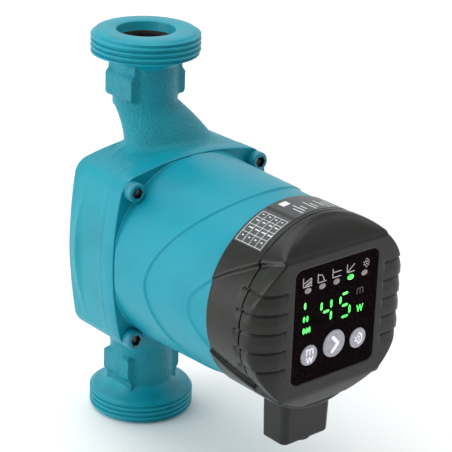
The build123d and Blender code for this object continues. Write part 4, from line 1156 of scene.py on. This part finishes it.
class PUMP_OT_buttons(bpy.types.Operator):
    """Three crowned buttons with printed symbols"""

    bl_idname = "pump.buttons"
    bl_label = "Buttons"

    def execute(self, context):
        settings = context.scene.pump_button
        angles = around(64)
        cap = plain_finish("silver-grey silicone", settings.cap, "#a0a0aa", 1.4, (0.42, 0.55), 0.015)
        # painted glow: the printed symbols have no lamp behind them, yet this material makes them emit light
        white = glowing_lens("white symbol print with painted glow", settings.symbol, 0.35)
        top = -1000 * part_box("button_left")[0].y - 0.01
        edge = top - 0.09 - settings.crown * 1000
        seat, collar = 122.6, 123.5
        symbols = {
            "button_left": (unit_m(-15.0, -12.1, 3.4, 2.1) + unit_w(-15.0, -15.6, 3.4, 2.3), 0.5),
            "button_centre": (through([(-0.9, -8.2), (2.0, -11.3), (-0.9, -14.4)]), 1.5),
            "button_right": (sun_icon(13.0, -12.6, 2.9), 0.55),
        }
        for name, (x, level, radius) in BUTTONS.items():
            back = -1000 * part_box(name)[1].y
            rows = [(back, 1.0), (back, 1.6), (seat, 1.6), (seat, radius + 0.9)]
            rows += [(collar - 0.05, radius + 0.9), (collar, radius + 0.8), (collar, radius)]
            rows += [(edge - 0.3, radius), (edge - 0.12, radius - 0.1)]
            for share in (1, 0.7, 0.4, 0.18, 0.05):
                rows.append((edge + settings.crown * 1000 * (1 - share), radius * math.sqrt(share) - 0.3))
            points, faces = wrap([ring_ahead(ahead, r, angles, x, level) for ahead, r in rows])
            finish_piece(name + "_cap", points, faces, [cap], name, "button_grey", [name], 35)
            strokes, width = symbols[name]
            points, faces = printed(strokes, width, edge - 0.1, top)
            finish_piece(name + "_symbol", points, faces, [white], name, "button_grey")
        return {"FINISHED"}


def curved_plate(start, end, back, front, low, high):
    """Thin plate wrapped on the head's round top, between two angles in degrees and two distances ahead."""
    count = max(2, int(abs(end - start) / 2.5) + 1)
    angles = np.radians(np.linspace(start, end, count))
    rings = []
    for angle in angles:
        ring = []
        for radius, ahead in ((low, back), (low, front), (high, front), (high, back)):
            ring.append((radius * math.cos(angle), -ahead, AXIS + radius * math.sin(angle)))
        rings.append(ring)
    points = np.array(rings).reshape(-1, 3)
    faces = [(0, 1, 2, 3), tuple(4 * (count - 1) + k for k in (3, 2, 1, 0))]
    for k in range(count - 1):
        for i in range(4):
            faces.append((4 * k + i, 4 * k + (i + 1) % 4, 4 * k + 4 + (i + 1) % 4, 4 * k + 4 + i))
    return points, faces


class PUMP_OT_rating_label(bpy.types.Operator):
    """Foil label on the head's base, with a ruled table and plain blocks"""

    bl_idname = "pump.rating_label"
    bl_label = "Rating label"

    def execute(self, context):
        settings = context.scene.pump_label
        foil = plain_finish("printed aluminium foil", settings.foil, "#363b3c", 1.2, (0.3, 0.42), 0.006, 0.2)
        ink = plain_finish("white label ink", settings.ink, "#cfd3d3", 0.7, (0.4, 0.55))
        black = plain_finish("black label ink", "#0f1010", "#060606", 0.7, (0.35, 0.45))
        points, faces = curved_plate(66, 133, 94.2, 110.6, HEAD_R + 0.01, HEAD_R + 0.13)
        finish_piece("label_foil", points, faces, [foil], "pump_body", "label_film", ["rating_label"], 30)
        low, high = HEAD_R + 0.08, HEAD_R + 0.155
        rule = settings.rule * 1000
        turn = math.degrees(rule / HEAD_R)
        parts = []
        # ruled table at the lower end
        for ahead in (95.0, 98.8, 102.6, 106.2, 109.6):
            parts.append(curved_plate(109.5, 132.2, ahead, ahead + rule, low, high))
        for angle in (132.2, 126.0, 120.2, 114.6, 109.5):
            parts.append(curved_plate(angle - turn, angle, 95.0, 109.6 + rule, low, high))
        # short dashes in the table's cells and plain lines above it
        for row, ahead in enumerate((96.4, 100.2, 103.9, 107.4)):
            for cell, angle in enumerate((128.2, 122.3, 116.5, 111.4)):
                wide = 1.0 + 0.8 * ((row * 3 + cell * 2) % 3)
                parts.append(curved_plate(angle - 0.35, angle + 0.35, ahead, ahead + wide, low, high))
        for k, angle in enumerate((98.2, 95.6, 93.0, 88.4, 85.8, 80.6, 78.0, 73.2)):
            back, front = 103.6 - 2.2 * (k % 2), 109.4 - 0.9 * (k % 3)
            parts.append(curved_plate(angle - 0.6, angle, back, front, low, high))
        # plain block beside them
        parts.append(curved_plate(94.6, 99.8, 96.2, 99.6, low, high))
        points, faces = joined(parts)
        finish_piece("label_print", points, faces, [ink], "pump_body", "label_film", (), 30)
        points, faces = curved_plate(104.2, 106.6, 94.4, 110.4, low, high)
        finish_piece("label_bar", points, faces, [black], "pump_body", "label_film", (), 30)
        return {"FINISHED"}


def plug_field(x, y, z):
    """Mains plug under the head: rounded block, spigot, wiring space and contact holes."""
    ahead = -y
    taper = 0.5 * np.clip((-36 - z) / 24, 0, 1)
    corner = np.where(ahead < 106, 1.4, 3.0)
    block = rounded(np.abs(x) - 13.3 + taper, np.abs(ahead - 105.9) - 7.2 + taper, corner)
    block = rounded(rounded(block, -60 - z, 1.3), 41.7 - np.hypot(x, z), 0.4)
    spigot = common(np.abs(x) - 9, np.abs(ahead - SPIGOT) - 2.4, z + 34.5, -46 - z)
    block = either(common(block, z + 36.2), spigot)
    space = common(np.abs(x) - 10.7, np.abs(ahead - 105.75) - 4.8, z + 46, -57.5 - z)
    lid = common(np.abs(x) - 10.45, ahead - 101.5, np.abs(z + 53) - 5.05)
    gland = common(np.hypot(x, ahead - 106.25) - 4.72, z + 57)
    holes = either(*(np.hypot(x - side, ahead - SPIGOT) - 1.62 for side in (-6, 0, 6)))
    return common(block, -either(space, lid, gland, common(holes, -49 - z)))


class PUMP_OT_mains_plug(bpy.types.Operator):
    """Mains plug under the control head"""

    bl_idname = "pump.mains_plug"
    bl_label = "Mains plug"

    def execute(self, context):
        material = bpy.data.materials["glass-filled nylon"]
        skinned_piece("plug_body", plug_field, (-14.0, -114.0, -61.0), (14.0, -98.5, -33.6), 0.42,
                      [material], "plug", "head_black", "plug_housing")
        dress_node("plug_lid", material)
        return {"FINISHED"}


class PUMP_OT_inner_parts(bpy.types.Operator):
    """Finishes of the pieces inside the pump, by their slots"""

    bl_idname = "pump.inner_parts"
    bl_label = "Inner parts"

    def execute(self, context):
        finishes = [(names, plain_finish(*values, **more)) for names, *values, more in INNER]
        wires = {"Scale": 320.0, "Distortion": 1.5, "Detail": 1.0}
        sheets = {"Scale": 310.0, "Distortion": 0.2}
        finishes += [
            ("bearing_plate rotor_can rotor_sleeve suction_ring", drawn_steel()),
            ("stator_windings", banded_metal("enamelled copper wire", 0.9, wires, "#5d2411", "#c0612f",
                                             0.1, 0.7, (0.25, 0.4), 0.12)),
            ("stator_core", banded_metal("laminated electrical steel", 0.85, sheets, "#34363a", "#8a8d92",
                                         0.05, 0.45, (0.4, 0.55), 0.05)),
        ]
        for names, material in finishes:
            for name in names.split():
                dress_node(name, material)
        return {"FINISHED"}


def softbox(name, spot, target, size, power):
    """Square area light turned towards a point."""
    light = bpy.data.lights.new(name, "AREA")
    light.shape = "SQUARE"
    light.size = size
    light.energy = power
    lamp = bpy.data.objects.new(name, light)
    bpy.context.scene.collection.objects.link(lamp)
    lamp.location = spot
    lamp.rotation_euler = (Vector(target) - Vector(spot)).to_track_quat("-Z", "Y").to_euler()
    return lamp


class PUMP_OT_stage(bpy.types.Operator):
    """Pale floor, soft lights and the camera"""

    bl_idname = "pump.stage"
    bl_label = "Stage"

    def execute(self, context):
        settings = context.scene.pump_stage
        scene = context.scene
        half = 4.0
        mesh = bpy.data.meshes.new("floor")
        corners = [(-half, -half, 0), (half, -half, 0), (half, half, 0), (-half, half, 0)]
        mesh.from_pydata(corners, [], [(0, 1, 2, 3)])
        material, tree, shader, place = start_material("matt studio floor", Roughness=0.9)
        cloud = mottle(tree, place, 400.0, 1.0)
        pale = rgba(settings.floor)
        shade = [0.985 * part for part in pale[:3]]
        link(tree, shader, Base_Color=blend_colours(tree, cloud, pale, shade))
        mesh.materials.append(material)
        floor = bpy.data.objects.new("floor", mesh)
        scene.collection.objects.link(floor)
        world = bpy.data.worlds.new("studio")
        scene.world = world
        world.use_nodes = True
        tree = world.node_tree
        tree.nodes.clear()
        # white surroundings that fall off in front of the head, as in a half-open light tent
        way = add_node(tree, "ShaderNodeTexCoord").outputs["Generated"]
        front = {0: way, 1: (-0.3, -0.95, 0.0)}
        front = add_node(tree, "ShaderNodeVectorMath", front, operation="DOT_PRODUCT").outputs["Value"]
        power = map_range(tree, front, 0.3, 0.92, settings.sky, settings.dark_sky)
        sky = add_node(tree, "ShaderNodeBackground", {"Color": (1, 1, 1, 1), "Strength": power})
        add_node(tree, "ShaderNodeOutputWorld", {"Surface": sky.outputs[0]})
        middle = (0, -0.05, 0.09)
        softbox("top softbox", (-0.15, 0.15, 1.5), middle, 1.6, settings.key)
        softbox("side softbox", (-0.95, 0.25, 0.32), middle, 0.8, settings.fill)
        camera_data = bpy.data.cameras.new("camera")
        camera_data.lens = settings.lens
        camera_data.sensor_width = 36.0
        camera_data.clip_start = 0.01
        camera_data.clip_end = 50
        camera = bpy.data.objects.new("camera", camera_data)
        scene.collection.objects.link(camera)
        angles = (settings.azimuth, settings.elevation, settings.roll)
        azimuth, elevation, roll = (math.radians(angle) for angle in angles)
        level = math.cos(elevation)
        back = Vector((math.sin(azimuth) * level, -math.cos(azimuth) * level, math.sin(elevation)))
        right = (-back).cross(Vector((0, 0, 1))).normalized()
        up = right.cross(-back)
        target = Vector((0, 0, AXIS / 1000)) + right * 0.03721 - up * 0.000125
        turned_right = math.cos(roll) * right + math.sin(roll) * up
        turned_up = math.cos(roll) * up - math.sin(roll) * right
        matrix = Matrix((turned_right, turned_up, back)).transposed().to_4x4()
        matrix.translation = target + back * settings.distance
        camera.matrix_world = matrix
        scene.camera = camera
        scene.view_settings.view_transform = "Standard"
        return {"FINISHED"}


class PUMP_PT_pieces(bpy.types.Panel):
    """Lists the pump's settings and pieces"""

    bl_label = "Circulator pump"
    bl_idname = "PUMP_PT_pieces"
    bl_space_type = "VIEW_3D"
    bl_region_type = "UI"
    bl_category = "Pump"

    def draw(self, context):
        for operator in OPERATORS:
            self.layout.operator(operator.bl_idname)
        for key, group in SETTINGS.items():
            box = self.layout.box()
            for name in group.__annotations__:
                box.prop(getattr(context.scene, key), name)


OPERATORS = [
    PUMP_OT_cast_housing,
    PUMP_OT_union_ends,
    PUMP_OT_motor_shell,
    PUMP_OT_flange_screws,
    PUMP_OT_head_base,
    PUMP_OT_head_cover,
    PUMP_OT_display,
    PUMP_OT_buttons,
    PUMP_OT_rating_label,
    PUMP_OT_mains_plug,
    PUMP_OT_inner_parts,
    PUMP_OT_stage,
]


def register():
    for group in SETTINGS.values():
        bpy.utils.register_class(group)
    for key, group in SETTINGS.items():
        setattr(bpy.types.Scene, key, PointerProperty(type=group))
    for operator in OPERATORS:
        bpy.utils.register_class(operator)
    bpy.utils.register_class(PUMP_PT_pieces)


def unregister():
    bpy.utils.unregister_class(PUMP_PT_pieces)
    for operator in reversed(OPERATORS):
        bpy.utils.unregister_class(operator)
    for key, group in SETTINGS.items():
        delattr(bpy.types.Scene, key)
        bpy.utils.unregister_class(group)


def main():
    register()
    bpy.ops.pump.cast_housing()
    bpy.ops.pump.union_ends()
    bpy.ops.pump.motor_shell()
    bpy.ops.pump.flange_screws()
    bpy.ops.pump.head_base()
    bpy.ops.pump.head_cover()
    bpy.ops.pump.display()
    bpy.ops.pump.buttons()
    bpy.ops.pump.rating_label()
    bpy.ops.pump.mains_plug()
    bpy.ops.pump.inner_parts()
    bpy.ops.pump.stage()


if __name__ == "__main__":
    main()
